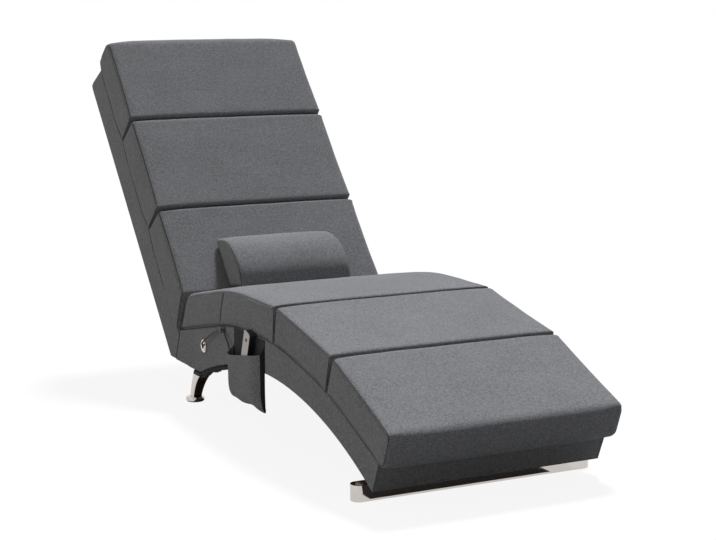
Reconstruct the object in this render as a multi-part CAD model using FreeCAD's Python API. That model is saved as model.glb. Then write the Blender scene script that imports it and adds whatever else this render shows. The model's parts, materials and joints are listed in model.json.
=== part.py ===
import FreeCAD, Part
import math
import os

# Massage lounger, millimetres. The sitter faces -Y, the handset pocket is on the -X side, +Z is up.
# The origin lies on the floor under the middle of the lounger.

# Whole body
CUSHION_WIDTH = 560.0
BODY_WIDTH = 550.0
COVER_THICKNESS = 4.0
RAIL_THICKNESS = 18.0
SHEET = 2.0
FIT = 0.3

# Seat line in side view: the deck carries the cushions
FRONT_CLEARANCE = 30.5
KNEE_Y = -334.0
SEAT_TOP_LENGTH = 243.0
SEAT_REAR_LENGTH = 346.0
SEAT_REAR_SLOPE = 12.3
THIGH_LENGTH = 271.0
THIGH_SLOPE = 11.7
CALF_LENGTH = 249.0
CALF_SLOPE = 22.8
CALF_OVERHANG = 36.0
DECK_BEND_RADIUS = 850.0
CUSHION_THICKNESS = 88.0
CUSHION_GAP = 5.0
CUSHION_CORNER = 12.0
TOE_CORNER = 22.0
SEAT_REAR_CORNER = 52.0
HEAD_CORNER = 34.0
HEAD_REAR_CORNER = 30.0
FLOOR_CORNER = 6.0
CUSHION_CROWN = 4.0
CUSHION_EDGE_DROP = 4.0

# Arched base under the deck
BASE_FRONT_DEPTH = 76.0
BASE_REAR_DEPTH = 157.0
ARCH_RADIUS = 1060.0
ARCH_CROWN_Y = -278.0
ARCH_CROWN_DEPTH = 80.0

# Back, joined to the seat on one leaning plane
JOINT_TILT = 23.5
CREASE_RISE = 100.0
BACK_RECLINE = 40.8
LOWER_LENGTH = 267.0
MIDDLE_LENGTH = 287.0
UPPER_LENGTH = 284.0
BACK_CUSHION_THICKNESS = 104.0
BACK_FRAME_DEPTH = 98.0
BACK_FRAME_SHORTER = 30.0
BACK_FRAME_FLARE = 11.0
BACK_FRAME_RISE = 25.0

# Chrome feet
FRONT_FOOT_Y = -737.0
FRONT_FOOT_WIDTH = 580.0
FRONT_FOOT_DEPTH = 36.0
BAND_HEIGHT = 35.0
BAND_LIFT = 1.0
BAND_THICKNESS = 4.0
PLINTH_INSET = 70.0
GLIDE_RADIUS = 12.0
GLIDE_INSET = 20.0
SCREW_RADIUS = 2.5
SCREW_HEAD_RADIUS = 5.0
SCREW_HEAD_HEIGHT = 3.0
SCREW_BITE = 15.0
SCREW_INSET = 35.0
LEG_TOP_Y = 153.0
LEG_FOOT_Y = 212.0
LEG_X = 252.0
LEG_PLATE_THICKNESS = 5.0
LEG_PLATE_WIDTH = 50.0
LEG_PLATE_LENGTH = 96.0
LEG_PLATE_SIDE = 12.0
LEG_BLOCK_HEIGHT = 26.0
PAD_RADIUS = 24.0
GLIDE_HEIGHT = 3.0

# Massage motors
HOUSING_RADIUS = 31.0
HOUSING_HEIGHT = 30.0
HOUSING_WALL = 2.0
MOTOR_RADIUS = 12.0
MOTOR_LENGTH = 28.0
SHAFT_RADIUS = 1.5
WEIGHT_RADIUS = 10.5
WEIGHT_THICKNESS = 8.0
MOTOR_X = 115.0

# Handset, its pocket and its cord
HANDSET_WIDTH = 32.0
HANDSET_LENGTH = 122.0
HANDSET_THICKNESS = 13.0
HANDSET_LEAN = 18.0
HANDSET_STAND_OFF = 3.0
HANDSET_TOP_Y = -225.0
HANDSET_RISE = 9.0
HANDSET_WALL = 2.0
POCKET_FRONT_Y = -282.0
POCKET_REAR_Y = -102.0
POCKET_DROP = 164.0
POCKET_DEPTH = 24.7
MOUTH_REAR_DROP = 64.0
MOUTH_FRONT_DROP = 37.0
GROMMET_Y = 84.0
GROMMET_DROP = 84.0
GROMMET_RADIUS = 16.0
CORD_DIAMETER = 4.5
BUTTON_RADIUS = 4.0
BUTTON_PROUD = 1.2
BUTTON_FIT = 0.25

# Control box
BOX_WIDTH = 120.0
BOX_DEPTH = 84.0
BOX_HEIGHT = 36.0
BOX_WALL = 2.5

# Lumbar pillow
PILLOW_LENGTH = 308.0
PILLOW_HEIGHT = 148.0
PILLOW_DEPTH = 86.0

os.makedirs("parts", exist_ok=True)
AXIS_X = FreeCAD.Vector(1, 0, 0)
HALF_BODY = BODY_WIDTH / 2
HALF_CUSHION = CUSHION_WIDTH / 2
RAIL_OUT = HALF_BODY - COVER_THICKNESS
RAIL_IN = RAIL_OUT - RAIL_THICKNESS


# Drawing helpers in the side view, where a point is (y, z)
def heading(degrees):
    return (math.cos(math.radians(degrees)), math.sin(math.radians(degrees)))


def ahead(point, degrees, distance):
    way = heading(degrees)
    return (point[0] + way[0] * distance, point[1] + way[1] * distance)


def between(a, b, share):
    return (a[0] + (b[0] - a[0]) * share, a[1] + (b[1] - a[1]) * share)


def crossing(p, p_degrees, q, q_degrees):
    a = heading(p_degrees)
    b = heading(q_degrees)
    cross = a[0] * b[1] - a[1] * b[0]
    along = ((q[0] - p[0]) * b[1] - (q[1] - p[1]) * b[0]) / cross
    return (p[0] + a[0] * along, p[1] + a[1] * along)


def rounded_wire(points, radii, x):
    edges = []
    ends = []
    for i, corner in enumerate(points):
        before = points[i - 1]
        after = points[(i + 1) % len(points)]
        a = FreeCAD.Vector(0, before[0] - corner[0], before[1] - corner[1])
        b = FreeCAD.Vector(0, after[0] - corner[0], after[1] - corner[1])
        here = FreeCAD.Vector(x, corner[0], corner[1])
        if radii[i] <= 0:
            ends.append((here, None, here))
            continue
        half = a.getAngle(b) / 2
        reach = min(radii[i] / math.tan(half), 0.48 * a.Length, 0.48 * b.Length)
        radius = reach * math.tan(half)
        a.normalize()
        b.normalize()
        inward = a + b
        inward.normalize()
        middle = here + inward * (radius / math.sin(half) - radius)
        ends.append((here + a * reach, middle, here + b * reach))
    for i, (start, middle, stop) in enumerate(ends):
        if middle is not None:
            edges.append(Part.Arc(start, middle, stop).toShape())
        following = ends[(i + 1) % len(ends)][0]
        if stop.distanceToPoint(following) > 1e-6:
            edges.append(Part.LineSegment(stop, following).toShape())
    return Part.Wire(edges)


def prism(points, radii, x_from, x_to):
    face = Part.Face(rounded_wire(points, radii, x_from))
    return face.extrude(FreeCAD.Vector(x_to - x_from, 0, 0))


def sharp_prism(points, x_from, x_to):
    return prism(points, [0] * len(points), x_from, x_to)


def block(x_from, x_to, y_from, y_to, z_from, z_to):
    corner = FreeCAD.Vector(x_from, y_from, z_from)
    return Part.makeBox(x_to - x_from, y_to - y_from, z_to - z_from, corner)


def rod(radius, start, stop):
    way = FreeCAD.Vector(*stop) - FreeCAD.Vector(*start)
    return Part.makeCylinder(radius, way.Length, FreeCAD.Vector(*start), way)


def set_at(shape, point, degrees):
    moved = shape.copy()
    moved.rotate(FreeCAD.Vector(0, 0, 0), AXIS_X, degrees)
    moved.translate(FreeCAD.Vector(0, point[0], point[1]))
    return moved


def mirrored(shape):
    return shape.mirror(FreeCAD.Vector(0, 0, 0), AXIS_X)


def cut_all(shape, tools):
    return shape.cut(Part.makeCompound(tools)) if tools else shape


def export(node, *shapes):
    shape = shapes[0] if len(shapes) == 1 else Part.makeCompound(list(shapes))
    shape.exportStep("parts/" + node + ".step")


# The deck, the joint plane and the back face that everything hangs on
CALF_FALL = CALF_LENGTH * math.sin(math.radians(CALF_SLOPE))
THIGH_FALL = THIGH_LENGTH * math.sin(math.radians(THIGH_SLOPE))
FRONT_HEIGHT = BASE_FRONT_DEPTH * math.cos(math.radians(CALF_SLOPE))
DECK_HEIGHT = FRONT_CLEARANCE + FRONT_HEIGHT + CALF_FALL + THIGH_FALL
REAR_UNDERSIDE = DECK_HEIGHT - BASE_REAR_DEPTH
ARCH_CROWN_Z = DECK_HEIGHT - ARCH_CROWN_DEPTH
HANDSET_TOP_Z = DECK_HEIGHT + HANDSET_RISE
POCKET_BOTTOM = DECK_HEIGHT - POCKET_DROP
MOUTH_REAR_Z = DECK_HEIGHT - MOUTH_REAR_DROP
MOUTH_FRONT_Z = DECK_HEIGHT - MOUTH_FRONT_DROP
GROMMET_Z = DECK_HEIGHT - GROMMET_DROP
KNEE = (KNEE_Y, DECK_HEIGHT)
SEAT_BEND = (KNEE_Y + SEAT_TOP_LENGTH, DECK_HEIGHT)
DECK_REAR = ahead(SEAT_BEND, -SEAT_REAR_SLOPE, SEAT_REAR_LENGTH)
CALF_BEND = ahead(KNEE, 180 + THIGH_SLOPE, THIGH_LENGTH)
BASE_FRONT = ahead(CALF_BEND, 180 + CALF_SLOPE, CALF_LENGTH)
FRONT_LOW = ahead(BASE_FRONT, CALF_SLOPE - 90, BASE_FRONT_DEPTH)
JOINT_UP = 90 + JOINT_TILT
REAR_LOW = crossing(DECK_REAR, JOINT_UP, (0, REAR_UNDERSIDE), 0)
CREASE = ahead(DECK_REAR, JOINT_UP, CREASE_RISE)
BACK_ANGLE = 90 - BACK_RECLINE
BACK_LENGTH = LOWER_LENGTH + MIDDLE_LENGTH + UPPER_LENGTH
ARCH_CENTRE_Z = ARCH_CROWN_Z - ARCH_RADIUS
HANDSET_X = -(HALF_CUSHION + HANDSET_STAND_OFF + HANDSET_THICKNESS / 2)


def arch_z(y, drop=0.0):
    radius = ARCH_RADIUS - drop
    return ARCH_CENTRE_Z + math.sqrt(radius * radius - (y - ARCH_CROWN_Y) ** 2)


def arch_y(z, drop, side):
    radius = ARCH_RADIUS - drop
    return ARCH_CROWN_Y + side * math.sqrt(radius * radius - (z - ARCH_CENTRE_Z) ** 2)


def arch_body(drop=0.0):
    low = (-HALF_CUSHION - 50, ARCH_CROWN_Y, ARCH_CENTRE_Z)
    high = (HALF_CUSHION + 50, ARCH_CROWN_Y, ARCH_CENTRE_Z)
    return rod(ARCH_RADIUS - drop, low, high)


ARCH_REAR_Y = arch_y(REAR_UNDERSIDE, 0.0, 1)


def bend_middle(corner, front_slope, rear_slope):
    turn = math.radians(abs(front_slope - rear_slope))
    sag = DECK_BEND_RADIUS * (1 / math.cos(turn / 2) - 1)
    return ahead(corner, (front_slope + rear_slope) / 2 - 90, sag)


def half_bend_corner(corner, front_slope, rear_slope, way):
    turn = math.radians(abs(front_slope - rear_slope))
    return ahead(corner, way, DECK_BEND_RADIUS * (math.tan(turn / 2) - math.tan(turn / 4)))


CALF_LOW = bend_middle(CALF_BEND, CALF_SLOPE, THIGH_SLOPE)
KNEE_LOW = bend_middle(KNEE, THIGH_SLOPE, 0)
CALF_TILT = (CALF_SLOPE + THIGH_SLOPE) / 2
KNEE_TILT = THIGH_SLOPE / 2


def raised(points):
    return [(y, z + FIT) for y, z in points]


def base_body(x_from, x_to, below_deck=0.0):
    deck = [BASE_FRONT, CALF_BEND, KNEE, SEAT_BEND, DECK_REAR]
    deck = [(y, z - below_deck) for y, z in deck]
    points = deck + [REAR_LOW, (ARCH_REAR_Y, REAR_UNDERSIDE), FRONT_LOW]
    bend = DECK_BEND_RADIUS
    return prism(points, [0, bend, bend, bend, 0, 0, 0, 0], x_from, x_to).cut(arch_body())


# Upholstered cushions: one outline lofted across the width, low at both sides and crowned between
def soft_block(outline, half_width, drop, crown):
    wires = []
    for share in (-1.0, -0.9, -0.72, -0.4, 0.0, 0.4, 0.72, 0.9, 1.0):
        pull = share ** 6
        lower = drop * pull - crown * (1 - share * share)
        points, radii = outline(lower, pull)
        wires.append(rounded_wire(points, radii, share * half_width))
    return Part.makeLoft(wires, True, False)


SIDE_PULL = 2.0


def seat_cushion_body():
    def outline(lower, pull):
        inset = CUSHION_GAP / 2 + pull * SIDE_PULL
        thick = CUSHION_THICKNESS - lower
        front = ahead(KNEE_LOW, KNEE_TILT, inset)
        turn = half_bend_corner(KNEE, THIGH_SLOPE, 0, 0)
        rear = ahead(DECK_REAR, 180 - SEAT_REAR_SLOPE, inset)
        face_front = crossing(front, 90 + KNEE_TILT, (0, DECK_HEIGHT + thick), 0)
        lift = thick / math.cos(math.radians(SEAT_REAR_SLOPE))
        bend_top = (SEAT_BEND[0], SEAT_BEND[1] + lift)
        over_bend = crossing((0, DECK_HEIGHT + thick), 0, bend_top, -SEAT_REAR_SLOPE)
        face_rear = crossing(rear, JOINT_UP, over_bend, -SEAT_REAR_SLOPE)
        points = raised([front, turn, SEAT_BEND, rear]) + [face_rear, over_bend, face_front]
        bend = DECK_BEND_RADIUS
        return points, [FLOOR_CORNER, bend, bend, FLOOR_CORNER, SEAT_REAR_CORNER, bend, CUSHION_CORNER]

    return soft_block(outline, HALF_CUSHION, CUSHION_EDGE_DROP, CUSHION_CROWN)


def thigh_cushion_body():
    def outline(lower, pull):
        inset = CUSHION_GAP / 2 + pull * SIDE_PULL
        thick = CUSHION_THICKNESS - lower
        rear = ahead(KNEE_LOW, 180 + KNEE_TILT, inset)
        rear_turn = half_bend_corner(KNEE, THIGH_SLOPE, 0, 180 + THIGH_SLOPE)
        front = ahead(CALF_LOW, CALF_TILT, inset)
        front_turn = half_bend_corner(CALF_BEND, CALF_SLOPE, THIGH_SLOPE, THIGH_SLOPE)
        over = ahead(KNEE, 90 + THIGH_SLOPE, thick)
        face_rear = crossing(rear, 90 + KNEE_TILT, over, THIGH_SLOPE)
        face_front = crossing(front, 90 + CALF_TILT, over, THIGH_SLOPE)
        points = raised([front, front_turn, rear_turn, rear]) + [face_rear, face_front]
        bend = DECK_BEND_RADIUS
        return points, [FLOOR_CORNER, bend, bend, FLOOR_CORNER, CUSHION_CORNER, CUSHION_CORNER]

    return soft_block(outline, HALF_CUSHION, CUSHION_EDGE_DROP, CUSHION_CROWN)


def calf_cushion_body():
    def outline(lower, pull):
        inset = CUSHION_GAP / 2 + pull * SIDE_PULL
        thick = CUSHION_THICKNESS - lower
        rear = ahead(CALF_LOW, 180 + CALF_TILT, inset)
        turn = half_bend_corner(CALF_BEND, CALF_SLOPE, THIGH_SLOPE, 180 + CALF_SLOPE)
        front = ahead(BASE_FRONT, 180 + CALF_SLOPE, CALF_OVERHANG - pull * SIDE_PULL)
        over = ahead(CALF_BEND, 90 + CALF_SLOPE, thick)
        face_rear = crossing(rear, 90 + CALF_TILT, over, CALF_SLOPE)
        face_front = ahead(front, 90 + CALF_SLOPE, thick)
        points = raised([front, turn, rear]) + [face_rear, face_front]
        return points, [TOE_CORNER, DECK_BEND_RADIUS, FLOOR_CORNER, CUSHION_CORNER, TOE_CORNER]

    return soft_block(outline, HALF_CUSHION, CUSHION_EDGE_DROP, CUSHION_CROWN)


# Back cushions are drawn lying down: y runs up the back from the crease, z is forward of the back face
JOINT_IN_BACK = JOINT_UP - BACK_ANGLE


def back_cushion_body(start, stop, joint_end, top_corner, rear_corner):
    def outline(lower, pull):
        inset = CUSHION_GAP / 2 + pull * SIDE_PULL
        floor = -BACK_CUSHION_THICKNESS + FIT
        face = -lower
        if joint_end:
            low = crossing((inset, 0), JOINT_IN_BACK, (0, floor), 0)
            face_low = crossing((inset, 0), JOINT_IN_BACK, (0, face), 0)
        else:
            low = (start + inset, floor)
            face_low = (start + inset, face)
        points = [low, (stop - inset, floor), (stop - inset, face), face_low]
        return points, [FLOOR_CORNER, rear_corner, top_corner, CUSHION_CORNER]

    return soft_block(outline, HALF_CUSHION, CUSHION_EDGE_DROP, CUSHION_CROWN)


def in_back(shape):
    return set_at(shape, CREASE, BACK_ANGLE)


# Massage motors: pucks let into the underside of a cushion, drawn with the cushion underside at z = 0
def motor_places():
    gap_one = LOWER_LENGTH
    gap_two = LOWER_LENGTH + MIDDLE_LENGTH
    floor = -BACK_CUSHION_THICKNESS + FIT
    upper = ("upper_back", gap_two + 0.5 * UPPER_LENGTH)
    middle = ("lower_back", gap_one + 0.5 * MIDDLE_LENGTH)
    places = []
    for zone, along in (upper, middle):
        foot = ahead(ahead(CREASE, BACK_ANGLE, along), BACK_ANGLE + 90, floor)
        places.append((zone, foot, BACK_ANGLE))
    thigh = ahead(between(CALF_BEND, KNEE, 0.5), 90 + THIGH_SLOPE, FIT)
    places.append(("thigh", thigh, THIGH_SLOPE))
    return places


MOTOR_PLACES = motor_places()
MOTOR_SIDES = (("left", -MOTOR_X), ("right", MOTOR_X))


def at_motor(shape, x, place):
    moved = shape.copy()
    moved.translate(FreeCAD.Vector(x, 0, 0))
    return set_at(moved, place[1], place[2])


def motor_pocket():
    return rod(HOUSING_RADIUS + FIT, (0, 0, -20), (0, 0, HOUSING_HEIGHT + FIT))


LID_THICKNESS = 3.0
MOTOR_Z = LID_THICKNESS + MOTOR_RADIUS
MOTOR_BACK = -(HOUSING_RADIUS - HOUSING_WALL) + 7.0
MOTOR_FRONT = MOTOR_BACK + MOTOR_LENGTH
WEIGHT_BACK = MOTOR_FRONT + 3.0


def motor_housing():
    cup = rod(HOUSING_RADIUS, (0, 0, LID_THICKNESS), (0, 0, HOUSING_HEIGHT))
    room = rod(HOUSING_RADIUS - HOUSING_WALL, (0, 0, LID_THICKNESS), (0, 0, HOUSING_HEIGHT - HOUSING_WALL))
    half = MOTOR_RADIUS + 2
    top = HOUSING_HEIGHT - HOUSING_WALL
    cradle = block(MOTOR_BACK + 4, MOTOR_FRONT - 4, -half, half, MOTOR_Z, top)
    seat = rod(MOTOR_RADIUS + 0.02, (MOTOR_BACK, 0, MOTOR_Z), (MOTOR_FRONT, 0, MOTOR_Z))
    return cup.cut(room).fuse(cradle.cut(seat)).removeSplitter()


def motor_lid():
    return rod(HOUSING_RADIUS, (0, 0, 0), (0, 0, LID_THICKNESS))


def motor_can():
    can = rod(MOTOR_RADIUS, (MOTOR_BACK, 0, MOTOR_Z), (MOTOR_FRONT, 0, MOTOR_Z))
    bearing = rod(SHAFT_RADIUS + 0.05, (MOTOR_BACK + 3, 0, MOTOR_Z), (MOTOR_FRONT, 0, MOTOR_Z))
    return can.cut(bearing)


def motor_rotor():
    stop = WEIGHT_BACK + WEIGHT_THICKNESS
    shaft = rod(SHAFT_RADIUS, (MOTOR_BACK + 3.5, 0, MOTOR_Z), (stop, 0, MOTOR_Z))
    disc = rod(WEIGHT_RADIUS, (WEIGHT_BACK, 0, MOTOR_Z), (stop, 0, MOTOR_Z))
    away = block(WEIGHT_BACK - 1, stop + 1, -WEIGHT_RADIUS, WEIGHT_RADIUS, MOTOR_Z + 3, MOTOR_Z + 20)
    return disc.cut(away).fuse(shaft).removeSplitter()


def motor_set(make):
    return [at_motor(make(), x, place) for place in MOTOR_PLACES for side, x in MOTOR_SIDES]


STRAP_WIDTH = 50.0
STRAP_SINK = 0.6
STRAP_HALF = RAIL_OUT - 3
RAIL_SINK = (STRAP_SINK + SHEET + 0.1) / math.cos(math.radians(CALF_SLOPE))


# Seat base: covered side boards, cross rails, straps and the black cloth underneath
def seat_side_cover(side):
    return base_body(min(side * RAIL_OUT, side * HALF_BODY), max(side * RAIL_OUT, side * HALF_BODY))


def behind_front(start, stop):
    near = ahead(BASE_FRONT, CALF_SLOPE, start)
    far = ahead(BASE_FRONT, CALF_SLOPE, stop)
    down = CALF_SLOPE - 90
    return [ahead(near, down, -80), ahead(far, down, -80), ahead(far, down, 200), ahead(near, down, 200)]


def front_skin(x_half):
    slab = sharp_prism(behind_front(-10, COVER_THICKNESS), -x_half, x_half)
    return base_body(-x_half, x_half).common(slab)


def before_joint(thickness):
    near = ahead(DECK_REAR, JOINT_UP, 200)
    low = ahead(DECK_REAR, JOINT_UP, -250)
    back = JOINT_UP + 90
    return [near, low, ahead(low, back, thickness), ahead(near, back, thickness)]


PLATE_LENGTH = 130.0
PLATE_WIDTH = 30.0
PLATE_THICKNESS = 4.0
PLATE_MIDDLE = between(DECK_REAR, REAR_LOW, 0.4)
BOLT_RADIUS = 4.0
BOLT_REACH = 14.0
BOLT_SPOTS = (-0.4, -0.16, 0.16, 0.4)


def bolt_points():
    return [ahead(PLATE_MIDDLE, JOINT_TILT, share * PLATE_LENGTH) for share in BOLT_SPOTS]


def bolt_holes(side):
    start = side * (RAIL_IN - PLATE_THICKNESS - 1)
    stop = side * (RAIL_IN + BOLT_REACH)
    return [rod(BOLT_RADIUS + 0.05, (start, y, z), (stop, y, z)) for y, z in bolt_points()]


def plate_outline(margin):
    half = PLATE_LENGTH / 2 + margin
    lift = PLATE_WIDTH / 2 + margin
    ends = [ahead(PLATE_MIDDLE, JOINT_TILT, -half), ahead(PLATE_MIDDLE, JOINT_TILT, half)]
    low = [ahead(end, JOINT_TILT - 90, lift) for end in ends]
    high = [ahead(end, JOINT_TILT + 90, lift) for end in ends]
    return [low[0], low[1], high[1], high[0]]


def plate_notches():
    notch = sharp_prism(plate_outline(1.0), RAIL_IN - PLATE_THICKNESS - 6, RAIL_IN)
    return [notch, mirrored(notch)]


def joining_plate(side):
    plate = prism(plate_outline(0), [8] * 4, RAIL_IN - PLATE_THICKNESS, RAIL_IN)
    plate = plate if side > 0 else mirrored(plate)
    return cut_all(plate, bolt_holes(side))


def joining_bolts():
    bolts = []
    for side in (-1, 1):
        for y, z in bolt_points():
            inner = side * (RAIL_IN - PLATE_THICKNESS)
            head = rod(7.0, (inner - side * 5, y, z), (inner, y, z))
            shank = rod(BOLT_RADIUS, (inner, y, z), (side * (RAIL_IN + BOLT_REACH - 1), y, z))
            bolts.append(head.fuse(shank).removeSplitter())
    return bolts


def grommet_rod(radius, x_from, x_to):
    return rod(radius, (x_from, GROMMET_Y, GROMMET_Z), (x_to, GROMMET_Y, GROMMET_Z))


def grommet_hole(radius):
    return grommet_rod(radius, -HALF_BODY - 10, -RAIL_IN + 10)


def seat_side_rails():
    skin = sharp_prism(behind_front(-10, COVER_THICKNESS), -HALF_BODY, HALF_BODY)
    rails = []
    for side in (-1, 1):
        x_from = min(side * RAIL_IN, side * RAIL_OUT)
        rail = base_body(x_from, x_from + RAIL_THICKNESS, RAIL_SINK).cut(skin)
        rail = cut_all(rail, bolt_holes(side))
        rails.append(rail.cut(grommet_hole(GROMMET_RADIUS - 7)) if side < 0 else rail)
    return rails


CROSS_RAIL_Y = (CALF_BEND[0], KNEE_Y + 60, KNEE_Y + 394)
FOOT_BOARD_REAR = FRONT_FOOT_Y + FRONT_FOOT_DEPTH / 2 + 20


def seat_cross_rails():
    inside = base_body(-RAIL_IN, RAIL_IN, RAIL_SINK)
    front = behind_front(COVER_THICKNESS, COVER_THICKNESS + RAIL_THICKNESS)
    rails = [inside.common(sharp_prism(front, -RAIL_IN, RAIL_IN))]
    for y in CROSS_RAIL_Y:
        rails.append(inside.common(block(-RAIL_IN, RAIL_IN, y, y + RAIL_THICKNESS, 0, DECK_HEIGHT)))
    rear = inside.common(sharp_prism(before_joint(RAIL_THICKNESS), -RAIL_IN, RAIL_IN))
    return rails + [cut_all(rear, plate_notches())]


def foot_board():
    front = ahead(ahead(BASE_FRONT, CALF_SLOPE, COVER_THICKNESS + RAIL_THICKNESS), CALF_SLOPE - 90, 30)
    rear = crossing(front, CALF_SLOPE, (FOOT_BOARD_REAR, 0), 90)
    low = ahead(front, CALF_SLOPE - 90, 100)
    points = [front, rear, (FOOT_BOARD_REAR, 0), low]
    board = base_body(-RAIL_IN, RAIL_IN, RAIL_SINK).common(sharp_prism(points, -RAIL_IN, RAIL_IN))
    return cut_all(board, [screw_hole(x, y, SCREW_RADIUS + 0.1) for x, y in plinth_screw_spots()])


def strap():
    top = -STRAP_SINK
    return block(-STRAP_HALF, STRAP_HALF, -STRAP_WIDTH / 2, STRAP_WIDTH / 2, top - SHEET, top)


def seat_webbing():
    runs = [(BASE_FRONT, CALF_BEND, CALF_SLOPE, (0.2, 0.5)), (CALF_BEND, KNEE, THIGH_SLOPE, (0.39, 0.59))]
    runs += [(KNEE, SEAT_BEND, 0, (0.49,)), (SEAT_BEND, DECK_REAR, -SEAT_REAR_SLOPE, (0.37, 0.6, 0.83))]
    straps = []
    for start, stop, slope, shares in runs:
        straps += [set_at(strap(), between(start, stop, share), slope) for share in shares]
    return straps


INLET_Y = 22.0
INLET_RADIUS = 7.0


def dust_cover():
    front_y = ahead(FRONT_LOW, CALF_SLOPE, 6)[0]
    low_rear = crossing(DECK_REAR, JOINT_UP, (0, REAR_UNDERSIDE - SHEET), 0)
    turn = arch_y(REAR_UNDERSIDE - SHEET, SHEET, 1)

    def spot(y, z):
        return FreeCAD.Vector(-RAIL_OUT + 4, y, z)

    def arc(y_from, y_to, drop):
        middle = (y_from + y_to) / 2
        ends = [spot(y, arch_z(y, drop)) for y in (y_from, middle, y_to)]
        return Part.Arc(*ends).toShape()

    corners = [spot(ARCH_REAR_Y, REAR_UNDERSIDE), spot(REAR_LOW[0], REAR_UNDERSIDE)]
    corners += [spot(low_rear[0], REAR_UNDERSIDE - SHEET), spot(turn, REAR_UNDERSIDE - SHEET)]
    edges = [arc(front_y, ARCH_REAR_Y, 0)]
    edges += [Part.LineSegment(corners[i], corners[i + 1]).toShape() for i in range(3)]
    edges += [arc(turn, front_y, SHEET)]
    front_end = [spot(front_y, arch_z(front_y, SHEET)), spot(front_y, arch_z(front_y))]
    edges += [Part.LineSegment(*front_end).toShape()]
    sheet = Part.Face(Part.Wire(edges)).extrude(FreeCAD.Vector(2 * (RAIL_OUT - 4), 0, 0))
    holes = [rod(INLET_RADIUS + FIT, (0, INLET_Y, 0), (0, INLET_Y, DECK_HEIGHT))]
    holes += [screw_hole(x, y, SCREW_RADIUS + 0.1) for x, y in plinth_screw_spots()]
    holes += [screw_hole(x, y, SCREW_RADIUS + 0.1) for x, y in leg_screw_spots()]
    return cut_all(sheet, holes)


# Front foot: an open chrome band with round ends, held by a black plinth between its long sides
def level_wire(half_x, half_y, corner):
    points = [(-half_x, -half_y), (half_x, -half_y), (half_x, half_y), (-half_x, half_y)]
    wire = rounded_wire(points, [corner] * 4, 0)
    wire.rotate(FreeCAD.Vector(0, 0, 0), FreeCAD.Vector(1, 1, 1), -120)
    return wire


def foot_body(shrink, z_from, z_to):
    half_depth = FRONT_FOOT_DEPTH / 2 - shrink
    wire = level_wire(FRONT_FOOT_WIDTH / 2 - shrink, half_depth, half_depth * 0.98)
    wire.translate(FreeCAD.Vector(0, FRONT_FOOT_Y, z_from))
    return Part.Face(wire).extrude(FreeCAD.Vector(0, 0, z_to - z_from))


def front_foot_band():
    top = BAND_LIFT + BAND_HEIGHT
    return foot_body(0, BAND_LIFT, top).cut(foot_body(BAND_THICKNESS, 0, top + 1))


PLINTH_HALF = FRONT_FOOT_WIDTH / 2 - PLINTH_INSET
HEAD_SINK = GLIDE_HEIGHT + 9.0


def screw_hole(x, y, radius):
    return rod(radius, (x, y, 0), (x, y, DECK_HEIGHT))


def plinth_screw_spots():
    outer = PLINTH_HALF - SCREW_INSET
    return [(x, FRONT_FOOT_Y) for x in (-outer, -outer / 3, outer / 3, outer)]


def front_plinth():
    half_depth = FRONT_FOOT_DEPTH / 2 - BAND_THICKNESS
    front = FRONT_FOOT_Y - half_depth
    rear = FRONT_FOOT_Y + half_depth
    body = block(-PLINTH_HALF, PLINTH_HALF, front, rear, GLIDE_HEIGHT, DECK_HEIGHT).common(arch_body(SHEET))
    holes = [screw_hole(x, y, SCREW_RADIUS + 0.5) for x, y in plinth_screw_spots()]
    holes += [rod(SCREW_HEAD_RADIUS + 0.5, (x, y, 0), (x, y, HEAD_SINK)) for x, y in plinth_screw_spots()]
    return cut_all(body, holes)


def wood_screw(x, y, seat, stop):
    head = rod(SCREW_HEAD_RADIUS, (x, y, seat - SCREW_HEAD_HEIGHT), (x, y, seat))
    return head.fuse(rod(SCREW_RADIUS, (x, y, seat), (x, y, stop))).removeSplitter()


def plinth_screws():
    return [wood_screw(x, y, HEAD_SINK, arch_z(y) + SCREW_BITE) for x, y in plinth_screw_spots()]


def front_glides():
    spots = [(side * (PLINTH_HALF - GLIDE_INSET), FRONT_FOOT_Y) for side in (-1, 1)]
    return [rod(GLIDE_RADIUS, (x, y, 0), (x, y, GLIDE_HEIGHT)) for x, y in spots]


# Rear legs: a plate under the base, a post sweeping back and a round pad
LEG_TOP = REAR_UNDERSIDE - SHEET - LEG_PLATE_THICKNESS
LEG_PLATE_X = (LEG_X - LEG_PLATE_WIDTH + LEG_PLATE_SIDE, LEG_X + LEG_PLATE_SIDE)
LEG_PLATE_Y = (LEG_TOP_Y - LEG_PLATE_LENGTH / 4, LEG_TOP_Y + LEG_PLATE_LENGTH * 3 / 4)


def leg_screw_spots():
    spots = []
    for side in (-1, 1):
        for x in (LEG_PLATE_X[0] + 9, LEG_PLATE_X[0] + 21):
            spots.append((side * x, LEG_PLATE_Y[1] - 9))
        spots.append((side * (LEG_PLATE_X[0] + 9), LEG_PLATE_Y[0] + 9))
    return spots


def leg_section(y, z, x_half, y_half):
    wire = level_wire(x_half, y_half, 5)
    wire.translate(FreeCAD.Vector(LEG_X, y, z))
    return wire


LEG_SHAPE = ((0, 0, 17, 27), (0.28, 0.36, 16, 17), (0.62, 0.68, 14.5, 12), (1, 0.9, 13, 10))


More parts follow.
